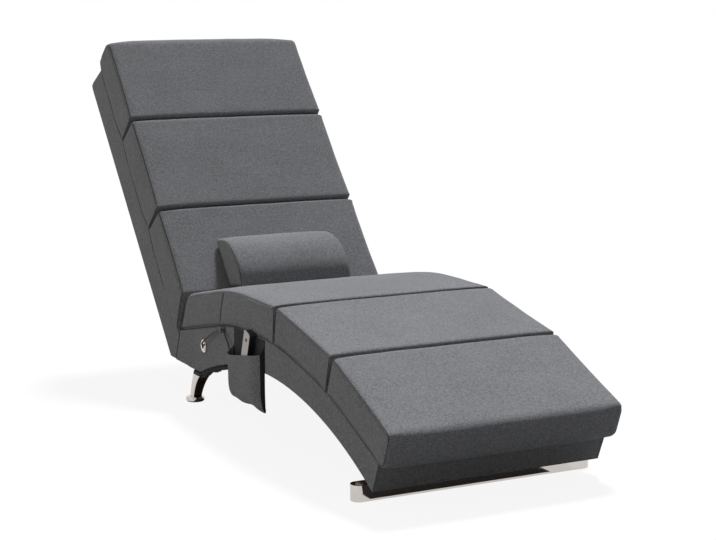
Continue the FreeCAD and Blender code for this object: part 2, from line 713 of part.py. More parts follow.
def rear_leg():
    swing = LEG_FOOT_Y - LEG_TOP_Y
    low = GLIDE_HEIGHT + 9
    top = LEG_TOP + LEG_PLATE_THICKNESS
    sections = []
    for share, swept, x_half, y_half in LEG_SHAPE:
        z = LEG_TOP + (low - LEG_TOP) * share
        sections.append(leg_section(LEG_TOP_Y + swing * swept, z, x_half, y_half))
    post = Part.makeLoft(sections, True, False)
    plate = block(*LEG_PLATE_X, *LEG_PLATE_Y, LEG_TOP, top)
    foot = rod(PAD_RADIUS, (LEG_X, LEG_FOOT_Y, GLIDE_HEIGHT), (LEG_X, LEG_FOOT_Y, GLIDE_HEIGHT + 6))
    step = rod(PAD_RADIUS - 4, (LEG_X, LEG_FOOT_Y, GLIDE_HEIGHT + 6), (LEG_X, LEG_FOOT_Y, low))
    leg = post.fuse([plate, foot, step]).removeSplitter()
    holes = [(x, y) for x, y in leg_screw_spots() if x > 0]
    return cut_all(leg, [rod(SCREW_RADIUS + 0.2, (x, y, LEG_TOP - 9), (x, y, top + 1)) for x, y in holes])


def rear_leg_screws():
    return [wood_screw(x, y, LEG_TOP, REAR_UNDERSIDE + SCREW_BITE) for x, y in leg_screw_spots()]


def rear_leg_blocks():
    inside = base_body(-RAIL_IN, RAIL_IN, RAIL_SINK)
    keep_out = sharp_prism(before_joint(RAIL_THICKNESS), -RAIL_IN, RAIL_IN)
    blocks = []
    for side in (-1, 1):
        x_from = min(side * RAIL_IN, side * (LEG_PLATE_X[0] - 4))
        x_to = max(side * RAIL_IN, side * (LEG_PLATE_X[0] - 4))
        top = REAR_UNDERSIDE + LEG_BLOCK_HEIGHT
        raw = block(x_from, x_to, LEG_PLATE_Y[0] - 2, LEG_PLATE_Y[1], REAR_UNDERSIDE, top)
        solid = inside.common(raw).cut(keep_out)
        holes = [screw_hole(x, y, SCREW_RADIUS + 0.02) for x, y in leg_screw_spots()]
        blocks.append(cut_all(solid, holes + plate_notches()))
    return blocks


def rear_glides():
    spots = [(-LEG_X, LEG_FOOT_Y), (LEG_X, LEG_FOOT_Y)]
    return [rod(PAD_RADIUS - 3, (x, y, 0), (x, y, GLIDE_HEIGHT)) for x, y in spots]


# Back frame, drawn lying down like the back cushions
BACK_FLOOR = -BACK_CUSHION_THICKNESS
BACK_REAR = BACK_FLOOR - BACK_FRAME_DEPTH
FRAME_TOP = BACK_LENGTH - BACK_FRAME_SHORTER


def back_frame_outline(front, rear, top):
    low_front = crossing((0, 0), JOINT_IN_BACK, (0, front), 0)
    low_rear = crossing((0, 0), JOINT_IN_BACK, (0, rear), 0)
    return [low_front, (top, front), (top + BACK_FRAME_RISE, rear - BACK_FRAME_FLARE), low_rear]


def above_underside(shape):
    reach = 2 * BACK_LENGTH
    return shape.cut(block(-reach, reach, -reach, reach, -reach, REAR_UNDERSIDE))


def back_cover():
    outline = back_frame_outline(BACK_FLOOR, BACK_REAR, FRAME_TOP)
    outer = prism(outline, [0, 5, 12, 0], -HALF_BODY, HALF_BODY)
    top = FRAME_TOP - COVER_THICKNESS
    inner = back_frame_outline(BACK_FLOOR, BACK_REAR + COVER_THICKNESS, top)
    low_rear = between(inner[2], inner[3], 1.2)
    top_front = between(inner[2], inner[1], 1.2)
    room = [(low_rear[0], top_front[1]), top_front, inner[2], low_rear]
    return above_underside(in_back(outer.cut(sharp_prism(room, -RAIL_OUT, RAIL_OUT))))


def back_frame_room():
    front = BACK_FLOOR - STRAP_SINK - SHEET - 0.1
    return back_frame_outline(front, BACK_REAR + COVER_THICKNESS, FRAME_TOP - COVER_THICKNESS)


FRAME_ROUNDS = [0, 3, 9, 0]


def back_side_rails():
    rails = []
    for side in (-1, 1):
        x_from = min(side * RAIL_IN, side * RAIL_OUT)
        rail = prism(back_frame_room(), FRAME_ROUNDS, x_from, x_from + RAIL_THICKNESS)
        rail = above_underside(in_back(rail))
        rails.append(cut_all(rail, bolt_holes(side)))
    return rails


def back_cross_rails():
    inside = prism(back_frame_room(), FRAME_ROUNDS, -RAIL_IN, RAIL_IN)
    top = FRAME_TOP - COVER_THICKNESS
    rails = []
    for along in (LOWER_LENGTH - 20, LOWER_LENGTH + MIDDLE_LENGTH - 20, top - RAIL_THICKNESS):
        slab = block(-RAIL_IN, RAIL_IN, along, along + RAIL_THICKNESS, BACK_REAR - 50, 50)
        rails.append(in_back(inside.common(slab)))
    low = sharp_prism(before_joint(-RAIL_THICKNESS), -RAIL_IN, RAIL_IN)
    return rails + [cut_all(above_underside(in_back(inside)).common(low), plate_notches())]


def back_webbing():
    straps = []
    for share in (0.2, 0.34, 0.48, 0.62, 0.76, 0.9):
        piece = strap()
        piece.translate(FreeCAD.Vector(0, share * FRAME_TOP, BACK_FLOOR))
        straps.append(in_back(piece))
    return straps


# Control box in the base, with the power inlet reaching through the black cloth
BOX_REAR = CROSS_RAIL_Y[2]
BOX_FRONT = BOX_REAR - BOX_DEPTH
BOX_LOW = arch_z(BOX_FRONT) + 4
BOX_HIGH = BOX_LOW + BOX_HEIGHT
BOARD_LOW = BOX_LOW + 9.0


def box_block(inset, z_from, z_to):
    half = BOX_WIDTH / 2 - inset
    return block(-half, half, BOX_FRONT + inset, BOX_REAR - inset, z_from, z_to)


def control_box():
    shell = box_block(0, BOX_LOW, BOX_HIGH).cut(box_block(BOX_WALL, BOX_LOW + BOX_WALL, BOX_HIGH))
    post_x = BOX_WIDTH / 2 - 14
    posts = []
    for x in (-post_x, post_x):
        for y in (BOX_FRONT + 14, BOX_REAR - 14):
            posts.append(rod(3, (x, y, BOX_LOW), (x, y, BOARD_LOW)))
    hole = rod(INLET_RADIUS - 2 + 0.05, (0, INLET_Y, BOX_LOW - 1), (0, INLET_Y, BOX_LOW + BOX_WALL))
    return shell.fuse(posts).removeSplitter().cut(hole)


def control_box_lid():
    lip = box_block(BOX_WALL + 0.2, BOX_HIGH - 3, BOX_HIGH)
    lip = lip.cut(box_block(BOX_WALL + 2.2, BOX_HIGH - 3, BOX_HIGH))
    return box_block(0, BOX_HIGH, BOX_HIGH + BOX_WALL).fuse(lip).removeSplitter()


def control_board():
    board = box_block(BOX_WALL + 2, BOARD_LOW, BOARD_LOW + 1.6)
    return board.cut(rod(INLET_RADIUS + 3, (0, INLET_Y, BOARD_LOW - 1), (0, INLET_Y, BOARD_LOW + 3)))


def power_inlet():
    mouth = arch_z(INLET_Y, SHEET) - 3
    barrel = rod(INLET_RADIUS, (0, INLET_Y, mouth), (0, INLET_Y, BOX_LOW))
    neck = rod(INLET_RADIUS - 2, (0, INLET_Y, BOX_LOW), (0, INLET_Y, BOX_LOW + BOX_WALL + 4))
    bore = rod(2.8, (0, INLET_Y, mouth), (0, INLET_Y, mouth + 14))
    return barrel.fuse(neck).removeSplitter().cut(bore)


# Handset, drawn upright with its bottom at z = 0 and its button face towards -X
HANDSET_ROOM = HANDSET_THICKNESS / 2
SPLIT = 1.5
BOARD_X = -1.6
BUTTONS = (
    ("power", 0.0, HANDSET_LENGTH - 21),
    ("mode", -7.5, 50.0),
    ("level", 7.5, 50.0),
    ("zone", -7.5, 34.0),
    ("timer", 7.5, 34.0),
)


def handset_place(shape):
    moved = shape.copy()
    moved.translate(FreeCAD.Vector(0, 0, -HANDSET_LENGTH))
    moved.rotate(FreeCAD.Vector(0, 0, 0), AXIS_X, HANDSET_LEAN)
    moved.translate(FreeCAD.Vector(HANDSET_X, HANDSET_TOP_Y, HANDSET_TOP_Z))
    return moved


def handset_bar(inset, x_from, x_to):
    half = HANDSET_WIDTH / 2 - inset
    top = HANDSET_LENGTH - inset
    points = [(-half, inset), (half, inset), (half, top), (-half, top)]
    corner = 7 - inset
    return prism(points, [corner, corner, corner, corner], x_from, x_to)


BOOT_RADIUS = 4.0


def boot_hole(radius):
    return rod(radius, (0, 0, -1), (0, 0, HANDSET_WALL + 1))


def handset_front_shell():
    room = handset_bar(HANDSET_WALL, -HANDSET_ROOM + HANDSET_WALL, SPLIT)
    shell = handset_bar(0, -HANDSET_ROOM, SPLIT).cut(room)
    holes = []
    for name, y, z in BUTTONS:
        holes.append(rod(BUTTON_RADIUS + BUTTON_FIT, (-HANDSET_ROOM - 1, y, z), (-HANDSET_ROOM + 4, y, z)))
    return cut_all(shell, holes + [boot_hole(BOOT_RADIUS - 1)])


def handset_back_shell():
    room = handset_bar(HANDSET_WALL, SPLIT, HANDSET_ROOM - HANDSET_WALL)
    shell = handset_bar(0, SPLIT, HANDSET_ROOM).cut(room)
    posts = []
    for y, z in ((-10, 20), (10, 20), (-10, HANDSET_LENGTH - 40), (10, HANDSET_LENGTH - 40)):
        posts.append(rod(2.2, (BOARD_X + 1.6, y, z), (HANDSET_ROOM - HANDSET_WALL, y, z)))
    return shell.fuse(posts).removeSplitter().cut(boot_hole(BOOT_RADIUS - 1))


def handset_board():
    board = handset_bar(HANDSET_WALL + 0.2, BOARD_X, BOARD_X + 1.6)
    return board.cut(block(-10, 10, -6, 6, 0, 14))


def handset_boot():
    outside = rod(BOOT_RADIUS, (0, 0, -9), (0, 0, 0))
    neck = rod(BOOT_RADIUS - 1.05, (0, 0, 0), (0, 0, HANDSET_WALL + 2))
    bore = rod(CORD_DIAMETER / 2 + 0.1, (0, 0, -10), (0, 0, HANDSET_WALL + 0.5))
    return outside.fuse(neck).removeSplitter().cut(bore)


def handset_button(y, z):
    wall_back = -HANDSET_ROOM + HANDSET_WALL
    cap = rod(BUTTON_RADIUS, (-HANDSET_ROOM - BUTTON_PROUD, y, z), (wall_back + 0.05, y, z))
    flange = rod(BUTTON_RADIUS + 1, (wall_back + 0.05, y, z), (wall_back + 1.05, y, z))
    return cap.fuse(flange).removeSplitter()


# Pocket: a cloth pouch hanging on the side of the base
POCKET_WALL = 2.0
POCKET_BACK = -HALF_BODY - FIT


def pocket_outline(inset, raised):
    front = POCKET_FRONT_Y + inset
    rear = POCKET_REAR_Y - inset
    low = POCKET_BOTTOM + inset
    slope = (MOUTH_FRONT_Z - MOUTH_REAR_Z) / (POCKET_FRONT_Y - POCKET_REAR_Y)
    rear_top = MOUTH_REAR_Z + slope * (rear - POCKET_REAR_Y) + raised
    front_top = MOUTH_REAR_Z + slope * (front - POCKET_REAR_Y) + raised
    return [(front, low), (rear, low), (rear, rear_top), (front, front_top)]


def pouch(wall, raised):
    near = POCKET_BACK - wall
    far = POCKET_BACK - POCKET_DEPTH + wall
    sections = []
    for share, inset in ((0.0, 0.0), (0.7, 1.0), (1.0, 6.0)):
        x = near + (far - near) * share
        sections.append(rounded_wire(pocket_outline(inset + wall, raised), [18, 18, 0, 0], x))
    return Part.makeLoft(sections, True, True)


def handset_pocket():
    top = DECK_HEIGHT - 8
    flap = [(POCKET_FRONT_Y, POCKET_BOTTOM + 60), (POCKET_REAR_Y, POCKET_BOTTOM + 60)]
    flap += [(POCKET_REAR_Y, top), (POCKET_FRONT_Y, top)]
    back = sharp_prism(flap, POCKET_BACK - POCKET_WALL, POCKET_BACK)
    return pouch(0, 0).cut(pouch(POCKET_WALL, 60)).fuse(back).removeSplitter()


# Cord from the grommet, up over its loop and down into the pocket to the handset
def handset_axis(distance):
    along = heading(90 + HANDSET_LEAN)
    run = distance - HANDSET_LENGTH
    return (HANDSET_TOP_Y + along[0] * run, HANDSET_TOP_Z + along[1] * run)


LOOP_Y = -42.0
LOOP_Z = SEAT_BEND[1] - math.tan(math.radians(SEAT_REAR_SLOPE)) * (LOOP_Y - SEAT_BEND[0]) - 3.0


def cord_route():
    tail = handset_axis(HANDSET_WALL)
    under = handset_axis(-44)
    return [
        (-HALF_BODY + 14, GROMMET_Y, GROMMET_Z),
        (-HALF_BODY - 16, GROMMET_Y, GROMMET_Z),
        (-HALF_BODY - 12, GROMMET_Y - 46, GROMMET_Z + 32),
        (-HALF_BODY - 8, LOOP_Y + 40, LOOP_Z - 17),
        (-HALF_BODY - 7, LOOP_Y, LOOP_Z - 2),
        (-HALF_BODY - 9, LOOP_Y - 30, LOOP_Z - 22),
        (-HALF_BODY - 12, POCKET_REAR_Y + 2, MOUTH_REAR_Z + 8),
        (HANDSET_X + 1, POCKET_REAR_Y - 20, MOUTH_REAR_Z - 38),
        (HANDSET_X + 0.5, POCKET_REAR_Y - 38, POCKET_BOTTOM + 22),
        (HANDSET_X, under[0], under[1]),
        (HANDSET_X, tail[0], tail[1]),
    ]


def smooth_route(points):
    spots = [FreeCAD.Vector(*p) for p in points]
    edges = []
    radii = []
    last = spots[0]
    for before, here, after in zip(spots, spots[1:], spots[2:]):
        a = before - here
        b = after - here
        half = a.getAngle(b) / 2
        reach = 0.45 * min(a.Length, b.Length)
        radius = reach * math.tan(half)
        radii.append(radius)
        a.normalize()
        b.normalize()
        inward = a + b
        inward.normalize()
        middle = here + inward * (radius / math.sin(half) - radius)
        edges.append(Part.LineSegment(last, here + a * reach).toShape())
        edges.append(Part.Arc(here + a * reach, middle, here + b * reach).toShape())
        last = here + b * reach
    edges.append(Part.LineSegment(last, spots[-1]).toShape())
    return Part.Wire(edges), radii


def handset_cord():
    path, radii = smooth_route(cord_route())
    first = FreeCAD.Vector(*cord_route()[0])
    profile = Part.Wire(Part.makeCircle(CORD_DIAMETER / 2, first, AXIS_X))
    tube = path.makePipeShell([profile], True, True)
    exact = math.pi * (CORD_DIAMETER / 2) ** 2 * path.Length
    print("cord length", round(path.Length, 1), "least radius", round(min(radii), 1))
    print("cord volume share", round(tube.Volume / exact, 4), "valid", tube.isValid())
    return tube


def cord_grommet():
    ring = grommet_rod(GROMMET_RADIUS, -HALF_BODY - 4, -HALF_BODY)
    lip = grommet_rod(GROMMET_RADIUS - 3, -HALF_BODY - 6, -HALF_BODY - 4)
    sleeve = grommet_rod(GROMMET_RADIUS - 7.1, -HALF_BODY, -RAIL_IN)
    return ring.fuse([lip, sleeve]).removeSplitter().cut(grommet_hole(GROMMET_RADIUS - 9))


def cord_bush():
    plug = grommet_rod(GROMMET_RADIUS - 9.05, -HALF_BODY - 3, -RAIL_IN)
    return plug.cut(grommet_hole(CORD_DIAMETER / 2 + 0.1))


def cord_loop():
    top = LOOP_Z + 0.5
    low = LOOP_Z - 13
    outside = block(-HALF_BODY - 13, -HALF_BODY, LOOP_Y - 5, LOOP_Y + 5, low, top)
    inside = block(-HALF_BODY - 11.5, -HALF_BODY - 1.5, LOOP_Y - 6, LOOP_Y + 6, low + 1.5, top - 1.5)
    return outside.cut(inside)


# Lumbar pillow: half round, flat against the back, drawn lying down like the back cushions
def lumbar_pillow():
    stand_off = CUSHION_CROWN + 0.5

    def outline(lower, pull):
        k = 1 - lower / PILLOW_DEPTH
        low = 14 + pull * 6
        top = 14 + PILLOW_HEIGHT - pull * 8
        face = PILLOW_DEPTH * k
        front_low = (-24.2 + pull * 8, stand_off + 0.72 * face)
        belly = (0.12 * PILLOW_HEIGHT, stand_off + face)
        chest = (0.66 * PILLOW_HEIGHT, stand_off + 0.95 * face)
        shoulder = (top - 12, stand_off + 0.52 * face)
        points = [(low, stand_off), (top, stand_off), shoulder, chest, belly, front_low]
        return points, [4, 10, 40, 60, 44, 14]

    return in_back(soft_block(outline, PILLOW_LENGTH / 2, 14.0, 2.0))


def build():
    gap_one = LOWER_LENGTH
    gap_two = LOWER_LENGTH + MIDDLE_LENGTH
    pockets = motor_set(motor_pocket)
    lower = in_back(back_cushion_body(0.0, gap_one, True, CUSHION_CORNER, FLOOR_CORNER))
    middle = in_back(back_cushion_body(gap_one, gap_two, False, CUSHION_CORNER, FLOOR_CORNER))
    upper = in_back(back_cushion_body(gap_two, BACK_LENGTH, False, HEAD_CORNER, HEAD_REAR_CORNER))
    export("back_cushion_lower", lower)
    export("back_cushion_middle", cut_all(middle, pockets[2:4]))
    export("back_cushion_upper", cut_all(upper, pockets[0:2]))
    export("seat_cushion", seat_cushion_body())
    export("thigh_cushion", cut_all(thigh_cushion_body(), pockets[4:6]))
    export("calf_cushion", calf_cushion_body())
    export("massage_housings", *motor_set(motor_housing))
    export("massage_lids", *motor_set(motor_lid))
    export("massage_motors", *motor_set(motor_can))
    for place in MOTOR_PLACES:
        for side, x in MOTOR_SIDES:
            export("massage_rotor_" + place[0] + "_" + side, at_motor(motor_rotor(), x, place))
    export("back_cover", back_cover())
    export("back_side_rails", *back_side_rails())
    export("back_cross_rails", *back_cross_rails())
    export("back_webbing", *back_webbing())
    export("seat_side_cover_left", seat_side_cover(-1).cut(grommet_hole(GROMMET_RADIUS - 7)))
    export("seat_side_cover_right", seat_side_cover(1))
    export("seat_front_cover", front_skin(RAIL_OUT))
    export("seat_side_rails", *seat_side_rails())
    export("seat_cross_rails", *seat_cross_rails(), foot_board())
    export("seat_webbing", *seat_webbing())
    export("dust_cover", dust_cover())
    export("joining_plates", joining_plate(-1), joining_plate(1))
    export("joining_bolts", *joining_bolts())
    export("front_plinth", front_plinth())
    export("front_foot_band", front_foot_band())
    export("front_plinth_screws", *plinth_screws())
    export("front_glides", *front_glides())
    export("rear_leg_right", rear_leg())
    export("rear_leg_left", mirrored(rear_leg()))
    export("rear_leg_screws", *rear_leg_screws())
    export("rear_leg_blocks", *rear_leg_blocks())
    export("rear_glides", *rear_glides())
    export("control_box", control_box())
    export("control_box_lid", control_box_lid())
    export("control_board", control_board())
    export("power_inlet", power_inlet())
    export("cord_grommet", cord_grommet())
    export("cord_bush", cord_bush())
    export("handset_cord", handset_cord())
    export("cord_loop", cord_loop())
    export("handset_pocket", handset_pocket())
    export("handset_front_shell", handset_place(handset_front_shell()))
    export("handset_back_shell", handset_place(handset_back_shell()))
    export("handset_board", handset_place(handset_board()))
    export("handset_boot", handset_place(handset_boot()))
    for name, y, z in BUTTONS:
        export("handset_" + name + "_button", handset_place(handset_button(y, z)))
    export("lumbar_pillow", lumbar_pillow())


build()
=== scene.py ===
"""Looks of a grey upholstered massage lounger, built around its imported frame. Metres, +Z up."""

import json
import math

import bmesh
import bpy
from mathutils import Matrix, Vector, noise


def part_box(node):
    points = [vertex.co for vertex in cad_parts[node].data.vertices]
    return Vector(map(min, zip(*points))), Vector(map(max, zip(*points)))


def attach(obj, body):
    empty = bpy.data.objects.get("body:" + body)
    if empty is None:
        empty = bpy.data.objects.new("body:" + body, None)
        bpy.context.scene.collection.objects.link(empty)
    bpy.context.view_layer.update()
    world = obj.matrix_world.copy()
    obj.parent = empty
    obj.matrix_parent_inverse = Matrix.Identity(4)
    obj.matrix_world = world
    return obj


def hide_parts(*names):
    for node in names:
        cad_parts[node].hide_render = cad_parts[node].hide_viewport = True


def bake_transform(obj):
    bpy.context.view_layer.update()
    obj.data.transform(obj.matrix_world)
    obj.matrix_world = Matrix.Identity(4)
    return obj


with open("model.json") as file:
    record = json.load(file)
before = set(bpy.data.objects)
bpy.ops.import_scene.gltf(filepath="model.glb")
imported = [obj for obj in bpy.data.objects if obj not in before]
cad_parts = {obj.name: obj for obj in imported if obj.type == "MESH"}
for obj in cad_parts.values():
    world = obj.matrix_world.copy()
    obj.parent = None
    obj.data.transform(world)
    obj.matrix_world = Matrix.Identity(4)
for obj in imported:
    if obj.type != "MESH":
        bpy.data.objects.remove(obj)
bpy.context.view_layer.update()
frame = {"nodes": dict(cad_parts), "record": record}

# Camera
CAMERA_PLACE = (-1.82846, -3.77075, 1.05202)
CAMERA_DOWN = 9.538
CAMERA_TURN = -27.128
CAMERA_LENS = 86.709

# Slopes of the cushions, in degrees
BACK_TILT = 49.2
THIGH_TILT = 11.7
CALF_TILT = 22.8

# Upholstery
CUSHION_EDGE = 0.009
CUSHION_GRID = 0.009
EDGE_ANGLES = (30, 50, 57, 64, 90)
SEAM_ANGLE = 57
LAP_ANGLE = 57
LAP_ROWS = 3
SEAM_DEPTH = 0.0014
EDGE_DROP = 0.004
SIDE_PULL = 0.002
LOWER_BOW = 0.020
LOWER_ROLL = 1.8
CRISP_REACH = 0.002
SHARP_TURN = math.radians(15)
GAP_CORNER = 0.012
GAP_SHARPER = 0.75
END_REACH = 24
END_TIGHT = 0.75
FREE_PULL = 0.006
SWELL_PRESSURE = 4.0
SWELL_FRAMES = 20
SWELL_FACE = 0.0045
SWELL_GAP = 0.0015
PANEL_SWELL = 0.0015
PUCKER_HEIGHT = 0.0007
PUCKER_SIZE = 0.055
SEAT_SEAM_Y = -0.045
SIDE_SEAM_HALF = 0.0035
SIDE_SEAM_CLEAR = 2.2
PILLOW_RELAXED = 14
PILLOW_LEAN = 0.013
THREAD_PITCH = 0.0016

# Covers drawn over the boards of the back and the base
SHELL_EDGE = 0.006
SHELL_GRID = 0.016
SHELL_SWELL = 0.001
SHELL_CUT_IN = 0.002
BOARD_EDGE = 0.0015
BOARD_GRID = 0.012
BOARD_SWELL = 0.0008

# Dust sheet under the base, with a hem that hangs out at the rear
SHEET_HALF = 0.2705
SHEET_CLOTH = 0.0008
SHEET_GRID = 0.020
INLET_CUT = 0.0085
HEM_INNER_X = 0.266
HEM_X = 0.269
HEM_DROP = 0.010
HEM_FRONT_Y = -0.14
HEM_REAR_Y = 0.124
HEM_FRONT_RUN = 0.04
HEM_REAR_RUN = 0.01

# Pouch on the side of the base
POUCH_REAR_Y = -0.102
POUCH_FRONT_Y = -0.280
POUCH_BACK_X = -0.2764
POUCH_DEPTH = 0.0222
POUCH_EDGE_DEPTH = 0.009
POUCH_EDGE_INSET = 0.007
POUCH_GUSSET = 1.12
POUCH_MOUTH_REAR = 0.185
POUCH_MOUTH_FRONT = 0.215
POUCH_TIP_RISE = 0.020
POUCH_GUSSET_RISE = 0.020
POUCH_LOW_REAR = 0.084
POUCH_LOW_FRONT = 0.088
POUCH_FLAP_TOP = 0.249
POUCH_CLOTH = 0.0014
POUCH_REAR_ROUND = 0.010
POUCH_LOW_WAVE = 0.002
POUCH_TOE_DROP = 0.006
POUCH_WAIST = 0.004
POUCH_MOUTH_HEM = 0.0010
POUCH_RIPPLE = 0.0010

# Handset cord: the route's points from the ring, over the loop and down to the handset
CORD_DIAMETER = 0.0045
CORD_ROUTE = (
    (-0.261, 0.084, 0.168),
    (-0.291, 0.084, 0.168),
    (-0.287, 0.038, 0.200),
    (-0.283, -0.002, 0.22132),
    (-0.282, -0.042, 0.23632),
    (-0.284, -0.072, 0.21632),
    (-0.287, -0.100, 0.196),
    (-0.2885, -0.122, 0.150),
    (-0.289, -0.140, 0.110),
    (-0.2895, -0.17370, 0.10313),
    (-0.2895, -0.18792, 0.14688),
)

# Light
AMBIENT = 0.20
KEY = 3.25
FILL = 0.56
KEY_TINT = (0.97, 0.99, 1.04)
KEY_PLACE = (1.25, 1.31, 3.57)
KEY_ANGLE = 9
FILL_TINT = (1.05, 1.0, 0.92)
FILL_PLACE = (-3.0, 0.5, 1.0)
FILL_ANGLE = 60
FLOOR_TONE = 0.19
FLOOR_WHITE = 0.90
FLOOR_REACH = 30.0
# Painted shade: tone of the cards that stand for the shaded floor near the lounger, seen only in
# reflections
SHADE_FLAG_TONE = (0.02, 0.016, 0.014)

# Colours, linear
THREAD_DARK = (0.085, 0.086, 0.089)
THREAD_MID = (0.205, 0.207, 0.213)
THREAD_LIGHT = (0.360, 0.364, 0.375)
CHROME_TINT = (0.60, 0.56, 0.53)
BLACK_PAINT = (0.004, 0.004, 0.004)
LEG_PAINT_Z = 0.078


# Shader nodes
def maths(nodes, links, operation, *values):
    node = nodes.new("ShaderNodeMath")
    node.operation = operation
    for socket, value in zip(node.inputs, values):
        if isinstance(value, (int, float)):
            socket.default_value = value
        else:
            links.new(value, socket)
    return node.outputs[0]


def shader(name, colour, roughness, metallic=0.0):
    material = bpy.data.materials.new(name)
    material.use_nodes = True
    nodes = material.node_tree.nodes
    surface = nodes["Principled BSDF"]
    surface.inputs["Base Color"].default_value = (*colour, 1)
    surface.inputs["Roughness"].default_value = roughness
    surface.inputs["Metallic"].default_value = metallic
    return material, nodes, material.node_tree.links, surface


def speckle(nodes, links, scale, stretch=(1, 1, 1), detail=2.0):
    """Noise in the object's own space, drawn out along an axis where stretch is below 1."""
    place = nodes.new("ShaderNodeTexCoord")
    spread = nodes.new("ShaderNodeMapping")
    spread.inputs["Scale"].default_value = stretch
    links.new(place.outputs["Object"], spread.inputs["Vector"])
    texture = nodes.new("ShaderNodeTexNoise")
    texture.inputs["Scale"].default_value = scale
    texture.inputs["Detail"].default_value = detail
    links.new(spread.outputs["Vector"], texture.inputs["Vector"])
    return texture.outputs["Fac"]


def ramp(nodes, links, factor, *stops):
    node = nodes.new("ShaderNodeValToRGB")
    points = node.color_ramp.elements
    while len(points) < len(stops):
        points.new(0.5)
    for point, (place, colour) in zip(points, stops):
        point.position = place
        point.color = (*colour, 1)
    links.new(factor, node.inputs["Fac"])
    return node.outputs["Color"]


def bump(nodes, links, surface, height, strength, distance):
    node = nodes.new("ShaderNodeBump")
    node.inputs["Strength"].default_value = strength
    node.inputs["Distance"].default_value = distance
    links.new(height, node.inputs["Height"])
    links.new(node.outputs["Normal"], surface.inputs["Normal"])


def weave(nodes, links, pitch):
    """Height of a plain weave on faces that look any way."""
    place = nodes.new("ShaderNodeTexCoord")
    axes = nodes.new("ShaderNodeSeparateXYZ")
    links.new(place.outputs["Object"], axes.inputs[0])
    facing = nodes.new("ShaderNodeSeparateXYZ")
    links.new(place.outputs["Normal"], facing.inputs[0])
    threads = []
    for axis in axes.outputs:
        turns = maths(nodes, links, "MULTIPLY", axis, 2 * math.pi / pitch)
        threads.append(maths(nodes, links, "SINE", turns))
    total = 0.5
    for i in range(3):
        crossing = maths(nodes, links, "MULTIPLY", threads[i - 2], threads[i - 1])
        weight = maths(nodes, links, "ABSOLUTE", facing.outputs[i])
        total = maths(nodes, links, "MULTIPLY_ADD", crossing, weight, total)
    return total


def cloth(name, dark, mid, light, pitch=THREAD_PITCH):
    """Woven cloth of mixed threads: fine flecks, short slubs both ways and a slow drift of tone."""
    material, nodes, links, surface = shader(name, mid, 0.92)
    surface.inputs["Sheen Weight"].default_value = 0.18
    surface.inputs["Sheen Roughness"].default_value = 0.55
    surface.inputs["Specular IOR Level"].default_value = 0.18
    flecks = speckle(nodes, links, 420.0)
    slubs_across = speckle(nodes, links, 420.0, (0.35, 1, 1))
    slubs_along = speckle(nodes, links, 400.0, (1, 0.35, 0.35))
    drift = speckle(nodes, links, 7.0)
    threads = weave(nodes, links, pitch)
    tone = maths(nodes, links, "MULTIPLY", flecks, 0.40)
    tone = maths(nodes, links, "MULTIPLY_ADD", slubs_across, 0.23, tone)
    tone = maths(nodes, links, "MULTIPLY_ADD", slubs_along, 0.23, tone)
    tone = maths(nodes, links, "MULTIPLY_ADD", drift, 0.06, tone)
    tone = maths(nodes, links, "MULTIPLY_ADD", threads, 0.08, tone)
    colour = ramp(nodes, links, tone, (0.34, dark), (0.50, mid), (0.68, light))
    links.new(colour, surface.inputs["Base Color"])
    height = maths(nodes, links, "MULTIPLY_ADD", flecks, 0.7, threads)
    bump(nodes, links, surface, height, 0.35, 0.0007)
    return material


def metal(name, colour, smooth, rough, streak=(1, 1, 1)):
    """Plated or drawn metal whose gloss varies a little with handling marks."""
    material, nodes, links, surface = shader(name, colour, smooth, 1.0)
    marks = speckle(nodes, links, 90.0, streak, 4.0)
    ranged = nodes.new("ShaderNodeMapRange")
    ranged.inputs["To Min"].default_value = smooth
    ranged.inputs["To Max"].default_value = rough
    links.new(marks, ranged.inputs["Value"])
    links.new(ranged.outputs["Result"], surface.inputs["Roughness"])
    bump(nodes, links, surface, marks, 0.04, 0.0002)
    return material


def plated_leg(name, black_above):
    """A bright plated leg whose mounting plate, above a height, is painted black."""
    material, nodes, links, surface = shader(name, CHROME_TINT, 0.1, 1.0)
    place = nodes.new("ShaderNodeTexCoord")
    axes = nodes.new("ShaderNodeSeparateXYZ")
    links.new(place.outputs["Object"], axes.inputs[0])
    painted = maths(nodes, links, "GREATER_THAN", axes.outputs[2], black_above)
    colour = ramp(nodes, links, painted, (0.0, CHROME_TINT), (1.0, BLACK_PAINT))
    links.new(colour, surface.inputs["Base Color"])
    links.new(maths(nodes, links, "SUBTRACT", 1.0, painted), surface.inputs["Metallic"])
    links.new(maths(nodes, links, "MULTIPLY_ADD", painted, 0.8, 0.1), surface.inputs["Roughness"])
    bump(nodes, links, surface, speckle(nodes, links, 90.0, detail=4.0), 0.04, 0.0002)
    return material


def moulded(name, dark, light, roughness, grain):
    """Moulded plastic or rubber with a fine spark-eroded grain."""
    material, nodes, links, surface = shader(name, light, roughness)
    cells = speckle(nodes, links, grain, detail=3.0)
    links.new(ramp(nodes, links, cells, (0.3, dark), (0.7, light)), surface.inputs["Base Color"])
    bump(nodes, links, surface, cells, 0.25, 0.0002)
    return material


def two_tone(name, face, edge, roughness, grain):
    """Moulded plastic whose face, turned to -X, is pale and whose edges are dark."""
    material, nodes, links, surface = shader(name, face, roughness)
    cells = speckle(nodes, links, grain, detail=3.0)
    place = nodes.new("ShaderNodeTexCoord")
    facing = nodes.new("ShaderNodeSeparateXYZ")
    links.new(place.outputs["Normal"], facing.inputs[0])
    tone = maths(nodes, links, "MULTIPLY_ADD", cells, -0.1, facing.outputs[0])
    colour = ramp(nodes, links, maths(nodes, links, "MULTIPLY", tone, -1.0), (0.75, edge), (0.90, face))
    links.new(colour, surface.inputs["Base Color"])
    bump(nodes, links, surface, cells, 0.25, 0.0002)
    return material


